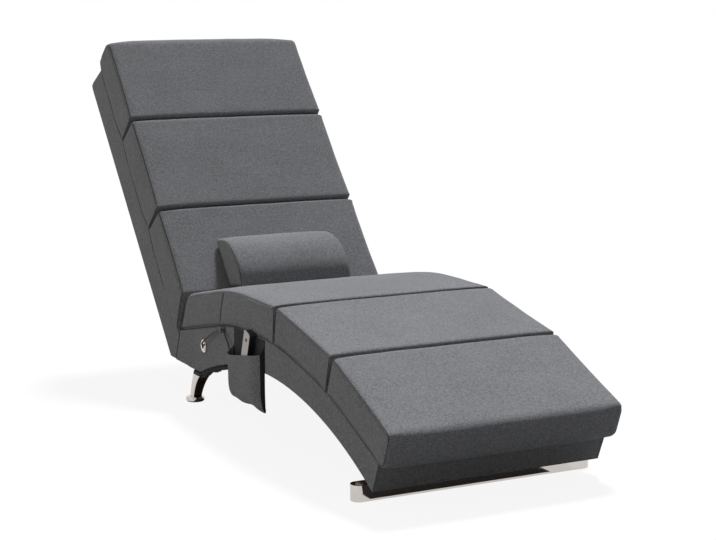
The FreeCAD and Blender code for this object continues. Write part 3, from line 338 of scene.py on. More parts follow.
def timber(name, dark, light, roughness):
    """Sawn or painted timber with its grain along the rails."""
    material, nodes, links, surface = shader(name, light, roughness)
    grain = speckle(nodes, links, 60.0, (0.08, 0.3, 1), 6.0)
    links.new(ramp(nodes, links, grain, (0.35, dark), (0.65, light)), surface.inputs["Base Color"])
    bump(nodes, links, surface, grain, 0.2, 0.0006)
    return material


GREY_CLOTH = cloth("grey_cloth", THREAD_DARK, THREAD_MID, THREAD_LIGHT)
# Painted shade: cloth darkened to stand for the shade in the seam grooves.
SEAM_SHADE_CLOTH = cloth("seam_shade_cloth", (0.035, 0.035, 0.036), (0.068, 0.068, 0.070), (0.110, 0.111, 0.115))
# Near-black cloth of the dust sheet and the pouch's lining, also laid as painted shade under the back
# cushions' lips and on the pouch's gusset.
DUST_CLOTH_AND_SHADE = cloth(
    "dust_cloth_and_shade", (0.006, 0.006, 0.006), (0.011, 0.011, 0.012), (0.020, 0.020, 0.021), 0.0012
)
WEBBING = cloth("webbing", (0.10, 0.08, 0.06), (0.22, 0.18, 0.13), (0.34, 0.29, 0.22), 0.0030)
CHROME = metal("chrome", CHROME_TINT, 0.06, 0.14)
LEG_CHROME = plated_leg("leg_chrome", LEG_PAINT_Z)
STEEL = metal("zinc_steel", (0.56, 0.56, 0.57), 0.28, 0.45, (1, 0.1, 1))
BRASS = metal("brass", (0.68, 0.52, 0.24), 0.22, 0.36)
FRAME_WOOD = timber("frame_wood", (0.40, 0.28, 0.16), (0.62, 0.47, 0.30), 0.75)
BLACK_WOOD = timber("black_wood", (0.008, 0.008, 0.008), (0.016, 0.016, 0.016), 0.5)
BLACK_PLASTIC = moulded("black_plastic", (0.012, 0.012, 0.013), (0.022, 0.022, 0.023), 0.5, 900.0)
HANDSET_PLASTIC = two_tone("handset_plastic", (0.57, 0.54, 0.50), (0.015, 0.015, 0.016), 0.38, 1400.0)
GREY_RUBBER = moulded("grey_rubber", (0.05, 0.05, 0.052), (0.08, 0.08, 0.083), 0.6, 1100.0)
RED_RUBBER = moulded("red_rubber", (0.16, 0.025, 0.022), (0.24, 0.04, 0.035), 0.55, 1100.0)
BLACK_RUBBER = moulded("black_rubber", (0.008, 0.008, 0.008), (0.016, 0.016, 0.016), 0.6, 900.0)
BOARD = moulded("circuit_board", (0.01, 0.07, 0.03), (0.02, 0.12, 0.05), 0.4, 500.0)

FINISH_OF_SLOT = {
    "grey_fabric": GREY_CLOTH,
    "dark_fabric": DUST_CLOTH_AND_SHADE,
    "webbing": WEBBING,
    "frame_wood": FRAME_WOOD,
    "chrome": CHROME,
    "steel": STEEL,
    "black_plinth": BLACK_WOOD,
    "glide_rubber": BLACK_RUBBER,
    "black_plastic": BLACK_PLASTIC,
    "handset_plastic": HANDSET_PLASTIC,
    "button_grey": GREY_RUBBER,
    "button_red": RED_RUBBER,
    "motor_shell": STEEL,
    "rotor_metal": BRASS,
    "circuit_board": BOARD,
    "cord_black": BLACK_RUBBER,
}

FINISH_OF_NODE = {
    "rear_leg_left": LEG_CHROME,
    "rear_leg_right": LEG_CHROME,
    "rear_leg_blocks": BLACK_WOOD,
}


def finish_frame():
    """Give every CAD node the finish of its slot, or its own where it has one."""
    for part in frame["record"]["subparts"]:
        mesh = frame["nodes"][part["node"]].data
        mesh.materials.clear()
        finish = FINISH_OF_SLOT[part["material_slot"]]
        mesh.materials.append(FINISH_OF_NODE.get(part["node"], finish))


# Mesh helpers
CORNER_WAYS = (225, 315, 45, 135)
FACE_REAR = 2
FACE_FRONT = 3


def added(name, mesh, body, slot, *materials):
    """A smooth-shaded piece that rides on a body."""
    for material in materials:
        mesh.materials.append(material)
    mesh.shade_smooth()
    piece = bpy.data.objects.new(name, mesh)
    bpy.context.scene.collection.objects.link(piece)
    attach(piece, body)
    return piece


def subdivided(piece, levels=1):
    modifier = piece.modifiers.new("finer", "SUBSURF")
    modifier.levels = levels
    modifier.render_levels = levels
    return piece


def loops_of(edges):
    """The closed lines that a set of edges makes, as lists of vertices in order."""
    around = {}
    for edge in edges:
        for vertex in edge.verts:
            around.setdefault(vertex, []).append(edge.other_vert(vertex))
    loops = []
    while around:
        here = next(iter(around))
        loop = []
        while here is not None:
            loop.append(here)
            onward = around.pop(here)
            here = next((v for v in onward if v in around), None)
        loops.append(loop)
    return loops


def area_of(points):
    ring = zip(points, points[1:] + points[:1])
    return sum(a.x * b.y - b.x * a.y for a, b in ring) / 2


def outline_at(node, x):
    """The outer line of a CAD node where it is cut at x, as (y, z) points turning from y to z."""
    mesh = bmesh.new()
    mesh.from_mesh(frame["nodes"][node].data)
    bmesh.ops.remove_doubles(mesh, verts=mesh.verts, dist=1e-5)
    everything = mesh.verts[:] + mesh.edges[:] + mesh.faces[:]
    cut = bmesh.ops.bisect_plane(mesh, geom=everything, plane_co=(x, 0, 0), plane_no=(1, 0, 0))
    edges = [part for part in cut["geom_cut"] if isinstance(part, bmesh.types.BMEdge)]
    lines = [[Vector(v.co[1:]) for v in loop] for loop in loops_of(edges)]
    mesh.free()
    line = max(lines, key=lambda points: abs(area_of(points)))
    return line if area_of(line) > 0 else line[::-1]


def four_sides(line, tilt):
    """An outline split at its corners into underside, rear, face and front, each in order."""
    corners = []
    for way in CORNER_WAYS:
        a = math.radians(tilt + way)
        direction = Vector((math.cos(a), math.sin(a)))
        corners.append(max(range(len(line)), key=lambda i: line[i].dot(direction)))
    sides = []
    for start, stop in zip(corners, corners[1:] + corners[:1]):
        count = (stop - start) % len(line)
        sides.append([line[(start + i) % len(line)] for i in range(count + 1)])
    return sides


def length_of(points):
    return sum((b - a).length for a, b in zip(points, points[1:]))


def spaced(points, shares):
    """The points at these shares of a line's length."""
    total = length_of(points)
    found = []
    for share in shares:
        left = share * total
        for a, b in zip(points, points[1:]):
            step = (b - a).length
            if left <= step or b is points[-1]:
                found.append(a.lerp(b, min(1.0, left / max(step, 1e-9))))
                break
            left -= step
    return found


def share_at(line, y):
    """The share of a line's length at which it crosses y."""
    walked = 0.0
    for a, b in zip(line, line[1:]):
        if (a.x - y) * (b.x - y) <= 0:
            walked += abs(y - a.x) / max(abs(b.x - a.x), 1e-9) * (b - a).length
            break
        walked += (b - a).length
    return walked / length_of(line)


def steps(length, grid):
    count = max(1, round(length / grid))
    return [i / count for i in range(count + 1)]


def sharp_shares(line):
    """The shares of a line's length at which it turns sharply."""
    total = length_of(line)
    walked = 0.0
    found = []
    for a, b, c in zip(line, line[1:], line[2:]):
        walked += (b - a).length
        if (b - a).angle(c - b) > SHARP_TURN:
            found.append(walked / total)
    return found


def crisp(shares, onward, backward):
    """Even shares with close neighbours round each sharp corner of two lines that run opposite ways."""
    reach = CRISP_REACH / length_of(onward)
    corners = [0.0, 1.0] + sharp_shares(onward) + [1 - share for share in sharp_shares(backward)]
    kept = [s for s in shares if all(abs(s - c) > 3 * reach for c in corners)]
    for corner in corners:
        kept += [s for s in (corner - reach, corner, corner + reach) if 0 <= s <= 1]
    return sorted(kept)


def outward(ring):
    """The outward direction at each point of a closed ring."""
    ways = []
    for i in range(len(ring)):
        along = ring[(i + 1) % len(ring)] - ring[i - 1]
        ways.append(Vector((along.y, -along.x)).normalized())
    return ways


def patch(under, rear, face, front):
    """A grid stretched evenly between four lines that meet: under and face run along, front and rear up."""
    wide = len(under) - 1
    high = len(rear) - 1
    grid = []
    for i in range(wide + 1):
        u = i / wide
        column = []
        for j in range(high + 1):
            v = j / high
            across = under[i] * (1 - v) + face[i] * v + front[j] * (1 - u) + rear[j] * u
            low = under[0] * (1 - u) + under[-1] * u
            top = face[0] * (1 - u) + face[-1] * u
            column.append(across - low * (1 - v) - top * v)
        grid.append(column)
    return grid


# Upholstered pieces
class Upholstery:
    """A stuffed or board-backed piece: a strip of cloth round a node's outline and a panel at each side."""

    def __init__(self, node, tilt, edge, grid, drop=0.0, pull=0.0, cap_swell=0.0,
                 bow=0.0, cut_at=None, side_seam_y=None, sharp=False, relaxed=0,
                 lean=0.0, gap_ends=None):
        low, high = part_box(node)
        self.node = node
        self.middle = (low.x + high.x) / 2
        self.half = (high.x - low.x) / 2
        self.edge = edge
        self.drop = drop
        self.pull = pull
        self.cap_swell = cap_swell
        self.bow = bow
        self.gap_ends = gap_ends
        sides = four_sides(outline_at(node, self.middle if cut_at is None else cut_at), tilt)
        self.along = steps(length_of(sides[0]), grid)
        self.up = steps(length_of(sides[1]), grid)
        if sharp:
            self.along = crisp(self.along, sides[0], sides[2])
            self.up = crisp(self.up, sides[1], sides[3])
        self.seam_columns = ()
        if side_seam_y is not None:
            self.add_side_seam(sides[2], side_seam_y)
        self.make_ring(sides)
        if gap_ends and gap_ends[0]:
            self.square_corner(sides[FACE_FRONT][0], tilt + CORNER_WAYS[FACE_FRONT])
        if gap_ends and gap_ends[1]:
            self.square_corner(sides[FACE_REAR][0], tilt + CORNER_WAYS[FACE_REAR])
        self.relax_front(relaxed)
        self.lean_front(lean)
        self.ways = outward(self.ring)
        self.points = []
        self.faces = []
        self.seam_shade_faces = set()
        self.lap_shade_faces = set()
        self.held = set()
        self.make_strip(grid)
        self.make_panel(0, -1)
        self.make_panel(len(self.stations) - 1, 1)

    def add_side_seam(self, face, y):
        """Columns of points for an upright seam in the side panels."""
        share = 1 - share_at(face, y)
        width = SIDE_SEAM_HALF / length_of(face)
        extra = [share - width, share, share + width]
        kept = [u for u in self.along if abs(u - share) > SIDE_SEAM_CLEAR * width]
        self.along = sorted(kept + extra)
        self.seam_columns = (self.along.index(share),)

    def make_ring(self, sides):
        """The points of the outline in order, with the share along and the share up of each."""
        back_along = [1 - u for u in reversed(self.along)]
        down = [1 - v for v in reversed(self.up)]
        self.ring = []
        self.along_of = []
        self.up_of = []
        plans = (
            (sides[0], self.along, self.along, [0.0] * len(self.along)),
            (sides[1], self.up, [1.0] * len(self.up), self.up),
            (sides[2], back_along, self.along[::-1], [1.0] * len(self.along)),
            (sides[3], down, [0.0] * len(self.up), self.up[::-1]),
        )
        for line, shares, along, up in plans:
            self.ring += spaced(line, shares)[:-1]
            self.along_of += along[:-1]
            self.up_of += up[:-1]

    def square_corner(self, corner, way):
        """Draw a rounded corner of the ring out towards the point where its sides would meet."""
        diagonal = Vector((math.cos(math.radians(way)), math.sin(math.radians(way))))
        nearest = GAP_CORNER * (math.sqrt(2) - 1)
        tip = corner + diagonal * nearest
        for i, point in enumerate(self.ring):
            gap = (tip - point).length
            if gap < GAP_CORNER:
                share = GAP_SHARPER * (GAP_CORNER - gap) / (GAP_CORNER - nearest)
                self.ring[i] = point.lerp(tip, share)

    def relax_front(self, passes):
        """Even out the face and the front of the ring, and leave the underside and the rear."""
        count = len(self.ring)
        free = [i for i in range(count) if self.up_of[i] > 0.0 and self.along_of[i] < 1.0]
        for _ in range(passes):
            ring = list(self.ring)
            for i in free:
                ring[i] = (self.ring[i - 1] + self.ring[i] * 2 + self.ring[(i + 1) % count]) / 4
            self.ring = ring

    def lean_front(self, lean):
        """Push the lower front forward, most at the underside."""
        low = min(point.y for point in self.ring)
        high = max(point.y for point in self.ring)
        for i, point in enumerate(self.ring):
            share = (1 - self.along_of[i]) * (high - point.y) / (high - low)
            self.ring[i] = point - Vector((lean * share, 0))

    def make_strip(self, grid):
        """Rings of points from side to side, rounded into the panels with a drawn-in seam."""
        flat = self.half - self.edge
        rounds = []
        for angle in EDGE_ANGLES:
            a = math.radians(angle)
            reach = flat + self.edge * math.sin(a)
            rounds.append((reach, self.edge * (1 - math.cos(a)), angle == SEAM_ANGLE))
        self.stations = [(-x, inset, seam) for x, inset, seam in reversed(rounds)]
        self.stations += [(flat * (2 * s - 1), 0.0, False) for s in steps(2 * flat, grid)]
        self.stations += rounds
        for x, inset, seam in self.stations:
            self.add_ring(x, inset, seam)
        count = len(self.ring)
        last = len(self.stations) - 1
        for k in range(last):
            # Faces at the seam rows take the cloth painted darker, as shade in the seam's groove.
            dark = self.stations[k][2] or self.stations[k + 1][2]
            for i in range(count):
                j = (i + 1) % count
                here = k * count
                in_gap = self.along_of[i] == self.along_of[j] and self.end_of(i)[1] > 0
                under = self.up_of[i] == self.up_of[j] == 0.0
                # Painted shade: the underside rows next to the panels of a bowed cushion take the
                # near-black cloth, for the shade line where its lip meets the shell.
                if self.bow > 0 and under and min(k, last - 1 - k) < LAP_ROWS:
                    self.lap_shade_faces.add(len(self.faces))
                elif dark and not in_gap:
                    self.seam_shade_faces.add(len(self.faces))
                self.faces.append((here + i, here + count + i, here + count + j, here + j))

    def add_ring(self, x, inset, seam):
        """One ring of points at x, drawn in where the strip rounds into the panel."""
        share = abs(x) / self.half
        lap = self.half - self.edge * (1 - math.sin(math.radians(LAP_ANGLE - 1)))
        for i, point in enumerate(self.ring):
            up = self.up_of[i]
            end, tight = self.end_of(i)
            rolled = LOWER_ROLL if self.bow > 0 and up == 0.0 else 1.0
            sunk = inset * rolled * (1 - END_TIGHT * end * tight * (1 - up**8))
            sunk += SEAM_DEPTH * self.edge / CUSHION_EDGE if seam else 0.0
            sunk += share**6 * (self.drop * up + FREE_PULL * end * (1 - tight))
            middle = 4 * self.along_of[i] * (1 - self.along_of[i])
            if up == 0.0 and abs(x) > lap:
                sunk -= self.bow * (1 - (2 * self.along_of[i] - 1) ** 4)
            place = point - self.ways[i] * sunk
            waist = self.pull * middle
            if seam or up == 0.0:
                self.held.add(len(self.points))
            self.points.append(Vector((self.middle + x * (1 - waist / self.half), place.x, place.y)))

    def end_of(self, i):
        """How near a ring point is to an end of a cushion, and 1 where that end meets another cushion."""
        if self.gap_ends is None:
            return 0.0, 0.0
        along = self.along_of[i]
        return abs(2 * along - 1) ** END_REACH, self.gap_ends[0] if along < 0.5 else self.gap_ends[1]

    def make_panel(self, station, side):
        """A side panel inside the last ring, a little fuller in the middle."""
        count = len(self.ring)
        wide = len(self.along) - 1
        high = len(self.up) - 1
        first = station * count
        index = {}
        for i in range(wide + 1):
            index[i, 0] = first + i
            index[i, high] = first + wide + high + (wide - i)
        for j in range(high + 1):
            index[wide, j] = first + wide + j
            index[0, j] = first + (2 * wide + high + (high - j)) % count
        under = [self.points[index[i, 0]] for i in range(wide + 1)]
        face = [self.points[index[i, high]] for i in range(wide + 1)]
        rear = [self.points[index[wide, j]] for j in range(high + 1)]
        front = [self.points[index[0, j]] for j in range(high + 1)]
        grid = patch(under, rear, face, front)
        for i in range(1, wide):
            for j in range(1, high):
                u, v = self.along[i], self.up[j]
                swell = self.cap_swell * 16 * u * (1 - u) * v * (1 - v)
                if i in self.seam_columns:
                    swell -= SEAM_DEPTH
                index[i, j] = len(self.points)
                if i in self.seam_columns:
                    self.held.add(len(self.points))
                self.points.append(grid[i][j] + Vector((side * swell, 0, 0)))
        for i in range(wide):
            for j in range(high):
                quad = (index[i, j], index[i + 1, j], index[i + 1, j + 1], index[i, j + 1])
                # The side seam's faces take the cloth painted darker, as shade in its groove.
                if i in self.seam_columns or i + 1 in self.seam_columns:
                    self.seam_shade_faces.add(len(self.faces))
                self.faces.append(quad if side > 0 else quad[::-1])

    def build(self, name, body, slot):
        """The finished piece in plain cloth, with cloth darkened as painted shade in its seams and
        near-black cloth as painted shade under its lower lip, in place of its CAD node.
        """
        mesh = bpy.data.meshes.new(name)
        mesh.from_pydata(self.points, [], self.faces)
        for face in self.seam_shade_faces:
            mesh.polygons[face].material_index = 1
        for face in self.lap_shade_faces:
            mesh.polygons[face].material_index = 2
        mesh.update()
        piece = added(name, mesh, body, slot, GREY_CLOTH, SEAM_SHADE_CLOTH, DUST_CLOTH_AND_SHADE)
        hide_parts(self.node)
        return piece


def swell(piece, held, limits):
    """Blow the cloth up over its filling with seams and underside held, each point within its limit."""
    rest = [v.co.copy() for v in piece.data.vertices]
    group = piece.vertex_groups.new(name="held")
    group.add(sorted(held), 1.0, "REPLACE")
    modifier = piece.modifiers.new("swell", "CLOTH")
    settings = modifier.settings
    settings.quality = 6
    settings.mass = 0.3
    settings.tension_stiffness = 18
    settings.compression_stiffness = 18
    settings.shear_stiffness = 8
    settings.bending_stiffness = 2
    settings.use_pressure = True
    settings.uniform_pressure_force = SWELL_PRESSURE
    settings.vertex_group_mass = "held"
    settings.effector_weights.gravity = 0
    modifier.collision_settings.use_collision = False
    scene = bpy.context.scene
    for step in range(1, SWELL_FRAMES + 1):
        scene.frame_set(step)
    shown = piece.evaluated_get(bpy.context.evaluated_depsgraph_get())
    moved = [v.co.copy() for v in shown.data.vertices]
    piece.modifiers.remove(modifier)
    piece.vertex_groups.remove(group)
    scene.frame_set(1)
    for vertex, before, after, limit in zip(piece.data.vertices, rest, moved, limits):
        move = after - before
        vertex.co = before + move * min(1.0, limit / max(move.length, 1e-9))
    piece.data.update()


def room_to_swell(piece, tilt):
    """How far each point may move: most on the face, little towards the neighbours and the sides."""
    up = Vector((0, -math.sin(math.radians(tilt)), math.cos(math.radians(tilt))))
    limits = []
    for vertex in piece.data.vertices:
        facing = max(0.0, vertex.normal.dot(up))
        limits.append(SWELL_GAP + (SWELL_FACE - SWELL_GAP) * facing**2)
    return limits


def pucker(piece, seed, height, size):
    """Small uneven hollows, as cloth has over foam."""
    offset = Vector((seed * 7.3, seed * 3.1, seed * 5.7))
    for vertex in piece.data.vertices:
        vertex.co += vertex.normal * (height * noise.noise(vertex.co / size + offset))
    piece.data.update()


def cushion(name, node, body, tilt, seed, fill, **form):
    """A stuffed cushion, blown up by a simulation and slightly uneven."""
    shape = Upholstery(node, tilt, CUSHION_EDGE, CUSHION_GRID, EDGE_DROP, SIDE_PULL, PANEL_SWELL, **form)
    piece = shape.build(name, body, "grey_fabric")
    swell(piece, shape.held, room_to_swell(piece, tilt))
    pucker(piece, seed, PUCKER_HEIGHT, PUCKER_SIZE)
    subdivided(piece)
    return piece


def cushions():
    back = {"tilt": BACK_TILT, "fill": 0.8, "bow": LOWER_BOW}
    cushion("back_pad_upper", "back_cushion_upper", "frame", seed=1, gap_ends=(1, 0), **back)
    cushion("back_pad_middle", "back_cushion_middle", "frame", seed=2, gap_ends=(1, 1), **back)
    cushion("back_pad_lower", "back_cushion_lower", "frame", seed=3, gap_ends=(0, 1), **back)
    cushion("seat_pad", "seat_cushion", "frame", 0, 4, 0.8, side_seam_y=SEAT_SEAM_Y, gap_ends=(1, 0))
    cushion("thigh_pad", "thigh_cushion", "frame", THIGH_TILT, 5, 0.8, gap_ends=(1, 1))
    cushion("calf_pad", "calf_cushion", "frame", CALF_TILT, 6, 0.8, gap_ends=(0, 1))
    cushion("lumbar_roll", "lumbar_pillow", "pillow", 0, 7, 0.9, relaxed=PILLOW_RELAXED, lean=PILLOW_LEAN)


def covers():
    """Cloth drawn tight over the boards of the base and the back."""
    cut_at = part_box("back_cover")[0].x + SHELL_CUT_IN
    shell = {"cap_swell": SHELL_SWELL, "cut_at": cut_at, "sharp": True}
    back = Upholstery("back_cover", BACK_TILT, SHELL_EDGE, SHELL_GRID, **shell)
    subdivided(back.build("back_shell", "frame", "grey_fabric"))
    for side in ("left", "right"):
        node = "seat_side_cover_" + side
        panel = Upholstery(node, 0, BOARD_EDGE, BOARD_GRID, cap_swell=BOARD_SWELL, sharp=True)
        subdivided(panel.build("base_side_" + side, "frame", "grey_fabric"))
    front = Upholstery("seat_front_cover", CALF_TILT, BOARD_EDGE, BOARD_GRID, sharp=True)
    subdivided(front.build("base_front", "frame", "grey_fabric"))


def lower_line(line):
    """The lower run of a thin closed outline, from its front end to its rear one."""
    front = min(range(len(line)), key=lambda i: line[i].x)
    rear = max(range(len(line)), key=lambda i: line[i].x)
    count = (rear - front) % len(line)
    return [line[(front + i) % len(line)] for i in range(count + 1)]


def hem_drop(x, y):
    """How far the loose edge of the dust sheet hangs down at a place."""
    edge = 1.0 if abs(x) == HEM_X else 0.0
    ahead = min(1.0, max(0.0, (y - HEM_FRONT_Y) / HEM_FRONT_RUN))
    behind = min(1.0, max(0.0, (HEM_REAR_Y - y) / HEM_REAR_RUN))
    return HEM_DROP * edge * ahead * behind


def dust_sheet():
    """A black sheet stretched under the rails, with a loose hem at the rear of each side."""
    line = lower_line(outline_at("dust_cover", SHEET_HALF / 2))
    inlet = (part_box("power_inlet")[0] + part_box("power_inlet")[1]) / 2
    hole = [share_at(line, inlet.y - INLET_CUT), share_at(line, inlet.y + INLET_CUT)]
    shares = crisp(steps(length_of(line), SHEET_GRID), line, line[::-1])
    along = spaced(line, sorted([s for s in shares if not hole[0] < s < hole[1]] + hole))
    across = [SHEET_HALF * (2 * s - 1) for s in steps(2 * SHEET_HALF, SHEET_GRID)]
    across = [x for x in across if abs(x - inlet.x) > INLET_CUT]
    across += [-HEM_INNER_X, -HEM_X, HEM_X, HEM_INNER_X]
    across = sorted(across + [inlet.x - INLET_CUT, inlet.x + INLET_CUT])
    mesh = bmesh.new()
    rows = []
    for x in across:
        rows.append([mesh.verts.new((x, p.x, p.y + SHEET_CLOTH / 2 - hem_drop(x, p.x))) for p in along])
    for row, following in zip(rows, rows[1:]):
        for i in range(len(along) - 1):
            middle = (row[i].co + following[i + 1].co) / 2
            if max(abs(middle.x - inlet.x), abs(middle.y - inlet.y)) > INLET_CUT:
                mesh.faces.new((row[i], row[i + 1], following[i + 1], following[i]))
    data = bpy.data.meshes.new("dust_sheet")
    mesh.to_mesh(data)
    mesh.free()
    sheet = added("dust_sheet", data, "frame", "dark_fabric", DUST_CLOTH_AND_SHADE)
    thick = sheet.modifiers.new("cloth", "SOLIDIFY")
    thick.thickness = SHEET_CLOTH
    thick.offset = 0
    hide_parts("dust_cover")


# Pouch
def pouch_front(s, t):
    """A point of the hanging front panel and its gusset.

    s runs from the rear seam to 1 at the panel's front edge and on to the gusset's seam.
    t runs from the mouth down.
    """
    panel = min(s, 1.0)
    gusset = max(0.0, s - 1.0) / (POUCH_GUSSET - 1.0)
    mouth = POUCH_MOUTH_REAR + (POUCH_MOUTH_FRONT - POUCH_MOUTH_REAR) * panel
    mouth += POUCH_TIP_RISE * math.exp(-panel / 0.04) + POUCH_GUSSET_RISE * gusset
    low = POUCH_LOW_REAR + (POUCH_LOW_FRONT - POUCH_LOW_REAR) * panel
    low += POUCH_REAR_ROUND * max(0.0, 1 - panel / 0.10) ** 2 + POUCH_LOW_WAVE * math.sin(11 * panel)
    low -= POUCH_TOE_DROP * max(0.0, panel - 0.75) / 0.25
    inset = POUCH_EDGE_INSET * (1 - 2.2 * t**8)
    narrow = POUCH_WAIST * math.sin(math.pi * t) * (1 - panel)
    edge_y = POUCH_FRONT_Y + inset
    y = POUCH_REAR_Y + (edge_y - POUCH_REAR_Y) * panel - narrow
    y += (POUCH_FRONT_Y + 0.3 * inset - edge_y) * gusset
    z = mouth + (low - mouth) * t
    fullness = 1 - math.exp(-panel / 0.02)
    turn_in = max(0.0, (panel - 0.8) / 0.2) ** 2
    depth = fullness * (POUCH_DEPTH + (POUCH_EDGE_DEPTH - POUCH_DEPTH) * turn_in) * (1 - gusset)
    depth *= 1 - 0.55 * t**8
    depth += POUCH_MOUTH_HEM * fullness * (1 - gusset) * (t < 0.07)
    depth += POUCH_RIPPLE * math.sin(9 * panel + 2.2 * t) * t * (1 - t) * 4 * (1 - gusset) * fullness
    return Vector((POUCH_BACK_X - max(depth, 0.0), y, z))


def pouch():
    """A sewn cloth pouch: a back sheet on the base, a full front panel and a gusset in front in near-black
    cloth as painted shade.
    """
    wide = 36
    edge = 32
    high = 22
    flap = 8
    mesh = bmesh.new()
    front = {}
    back = {}
    for i in range(wide + 1):
        s = i / edge if i <= edge else 1 + (POUCH_GUSSET - 1) * (i - edge) / (wide - edge)
        for j in range(high + 1):
            place = pouch_front(s, j / high)
            front[i, j] = mesh.verts.new(place)
            if i in (0, wide) or j == high:
                back[i, j] = front[i, j]
            else:
                back[i, j] = mesh.verts.new((POUCH_BACK_X, place.y, place.z))
        for k in range(1, flap + 1):
            rim = pouch_front(s, 0)
            z = rim.z + (POUCH_FLAP_TOP - rim.z) * k / flap
            back[i, -k] = mesh.verts.new((POUCH_BACK_X, rim.y, z))
    for i in range(wide):
        for j in range(-flap, high):
            lining = mesh.faces.new((back[i, j], back[i + 1, j], back[i + 1, j + 1], back[i, j + 1]))
            lining.material_index = 1
            if j >= 0:
                panel = mesh.faces.new((front[i, j], front[i, j + 1], front[i + 1, j + 1], front[i + 1, j]))
                # Painted shade: the gusset's faces take the near-black cloth for its self-shadow.
                panel.material_index = 1 if i >= edge else 0
    data = bpy.data.meshes.new("pouch")
    mesh.to_mesh(data)
    mesh.free()
    piece = added("pouch", data, "frame", "grey_fabric", GREY_CLOTH, DUST_CLOTH_AND_SHADE)
    thick = piece.modifiers.new("cloth", "SOLIDIFY")
    thick.thickness = POUCH_CLOTH
    thick.offset = 0
    subdivided(piece)
    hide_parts("handset_pocket")


# Cord
def cord_curve(thickness):
    """The cord's route as a mesh: a bare line, or a tube of a radius."""
    curve = bpy.data.curves.new("cord_line", "CURVE")
    curve.dimensions = "3D"
    curve.resolution_u = 16
    curve.bevel_depth = thickness
    curve.bevel_resolution = 4
    line = curve.splines.new("NURBS")
    line.points.add(len(CORD_ROUTE) - 1)
    for point, place in zip(line.points, CORD_ROUTE):
        point.co = (*place, 1)
    line.order_u = 3
    line.use_endpoint_u = True
    holder = bpy.data.objects.new("cord_line", curve)
    mesh = bpy.data.meshes.new_from_object(holder)
    bpy.data.objects.remove(holder)
    bpy.data.curves.remove(curve)
    return mesh


def cord():
    """The handset's cord, a tube along its route."""
    line = cord_curve(0.0)
    bpy.data.meshes.remove(line)
    tube = cord_curve(CORD_DIAMETER / 2)
    tube.name = "handset_lead"
    tube.materials.append(BLACK_RUBBER)
    tube.shade_smooth()
    piece = bpy.data.objects.new("handset_lead", tube)
    bpy.context.scene.collection.objects.link(piece)
    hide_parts("handset_cord")
    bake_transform(piece)


# Camera, light and floor
def camera():
    data = bpy.data.cameras.new("camera")
    data.lens = CAMERA_LENS
    data.sensor_width = 36
    holder = bpy.data.objects.new("camera", data)
    holder.location = CAMERA_PLACE
    holder.rotation_euler = (math.radians(90 - CAMERA_DOWN), 0, math.radians(CAMERA_TURN))
    bpy.context.scene.collection.objects.link(holder)
    bpy.context.scene.camera = holder


def sun(name, place, energy, angle, colour):
    data = bpy.data.lights.new(name, "SUN")
    data.energy = energy
    data.color = colour
    data.angle = math.radians(angle)
    holder = bpy.data.objects.new(name, data)
    holder.location = place
    holder.rotation_euler = Vector(place).to_track_quat("Z", "Y").to_euler()
    bpy.context.scene.collection.objects.link(holder)


def seen_white(nodes, links, dim, bright, out):
    """Show one shader to the light that falls on things, and the other to the camera and to mirrors."""
    path = nodes.new("ShaderNodeLightPath")
    seen = maths(nodes, links, "MAXIMUM", path.outputs["Is Camera Ray"], path.outputs["Is Glossy Ray"])
    seen = maths(nodes, links, "MAXIMUM", seen, path.outputs["Is Transmission Ray"])
    mix = nodes.new("ShaderNodeMixShader")
    links.new(seen, mix.inputs["Fac"])
    links.new(dim, mix.inputs[1])
    links.new(bright, mix.inputs[2])
    links.new(mix.outputs[0], out.inputs["Surface"])


def surroundings():
    world = bpy.data.worlds.new("studio")
    bpy.context.scene.world = world
    world.use_nodes = True
    nodes = world.node_tree.nodes
    links = world.node_tree.links
    dim = nodes["Background"]
    dim.inputs["Strength"].default_value = AMBIENT
    dim.inputs["Color"].default_value = (1, 1, 1, 1)
    bright = nodes.new("ShaderNodeBackground")
    bright.inputs["Color"].default_value = (1, 1, 1, 1)
    seen_white(nodes, links, dim.outputs[0], bright.outputs[0], nodes["World Output"])


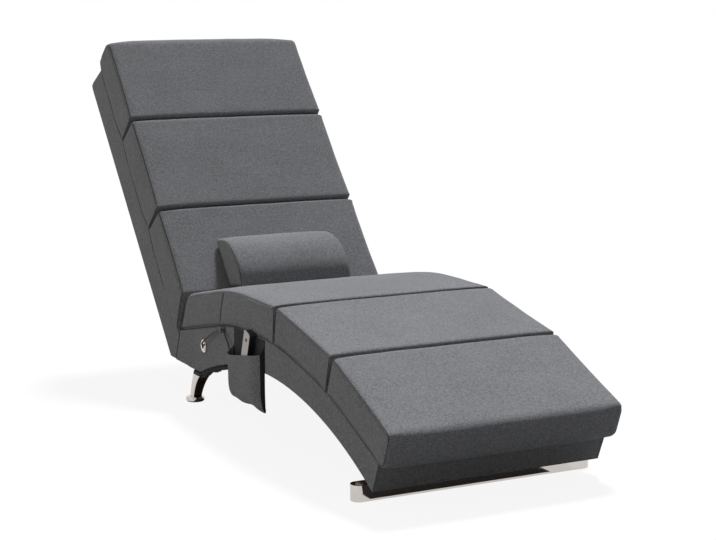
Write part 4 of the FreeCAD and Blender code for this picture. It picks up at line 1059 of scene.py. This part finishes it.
def floor():
    """A pale floor that shows the object's shadow and is white elsewhere."""
    mesh = bpy.data.meshes.new("floor")
    reach = FLOOR_REACH
    corners = [(-reach, -reach, 0), (reach, -reach, 0), (reach, reach, 0), (-reach, reach, 0)]
    mesh.from_pydata(corners, [], [(0, 1, 2, 3)])
    ground = bpy.data.objects.new("floor", mesh)
    bpy.context.scene.collection.objects.link(ground)
    material, nodes, links, surface = shader("pale_floor", (FLOOR_TONE, FLOOR_TONE, FLOOR_TONE), 0.9)
    shaded = nodes.new("ShaderNodeBsdfDiffuse")
    shaded.inputs["Color"].default_value = (0.97, 0.97, 0.97, 1)
    glow = nodes.new("ShaderNodeEmission")
    glow.inputs["Strength"].default_value = 1.0
    blend = nodes.new("ShaderNodeMixShader")
    blend.inputs["Fac"].default_value = FLOOR_WHITE
    links.new(shaded.outputs[0], blend.inputs[1])
    links.new(glow.outputs[0], blend.inputs[2])
    seen_white(nodes, links, surface.outputs[0], blend.outputs[0], nodes["Material Output"])
    mesh.materials.append(material)


def flag(name, place, size, towards):
    """A dark card hidden from the camera, without a shadow, which only shiny metal shows: painted shade
    standing for the shaded floor near the lounger in its reflections.
    """
    mesh = bpy.data.meshes.new(name)
    wide, high = size[0] / 2, size[1] / 2
    corners = [(-wide, -high, 0), (wide, -high, 0), (wide, high, 0), (-wide, high, 0)]
    mesh.from_pydata(corners, [], [(0, 1, 2, 3)])
    card = bpy.data.objects.new(name, mesh)
    card.location = place
    card.rotation_euler = (Vector(towards) - Vector(place)).to_track_quat("Z", "Y").to_euler()
    bpy.context.scene.collection.objects.link(card)
    card.visible_camera = False
    card.visible_diffuse = False
    card.visible_shadow = False
    mesh.materials.append(shader(name, SHADE_FLAG_TONE, 0.9)[0])


def studio():
    bpy.context.scene.view_settings.view_transform = "Standard"
    camera()
    surroundings()
    floor()
    # Painted shade for the metal's reflections: the shaded floor in front of the foot and under the base.
    flag("flag_front", (-0.03, -0.93, 0.002), (0.44, 0.33), (-0.03, -0.93, 1.0))
    flag("flag_under", (0.0, -0.22, 0.002), (0.54, 0.84), (0.0, -0.22, 1.0))
    sun("key", KEY_PLACE, KEY, KEY_ANGLE, KEY_TINT)
    sun("fill", FILL_PLACE, FILL, FILL_ANGLE, FILL_TINT)


finish_frame()
studio()
cord()
cushions()
covers()
dust_sheet()
pouch()

bpy.context.view_layer.update()
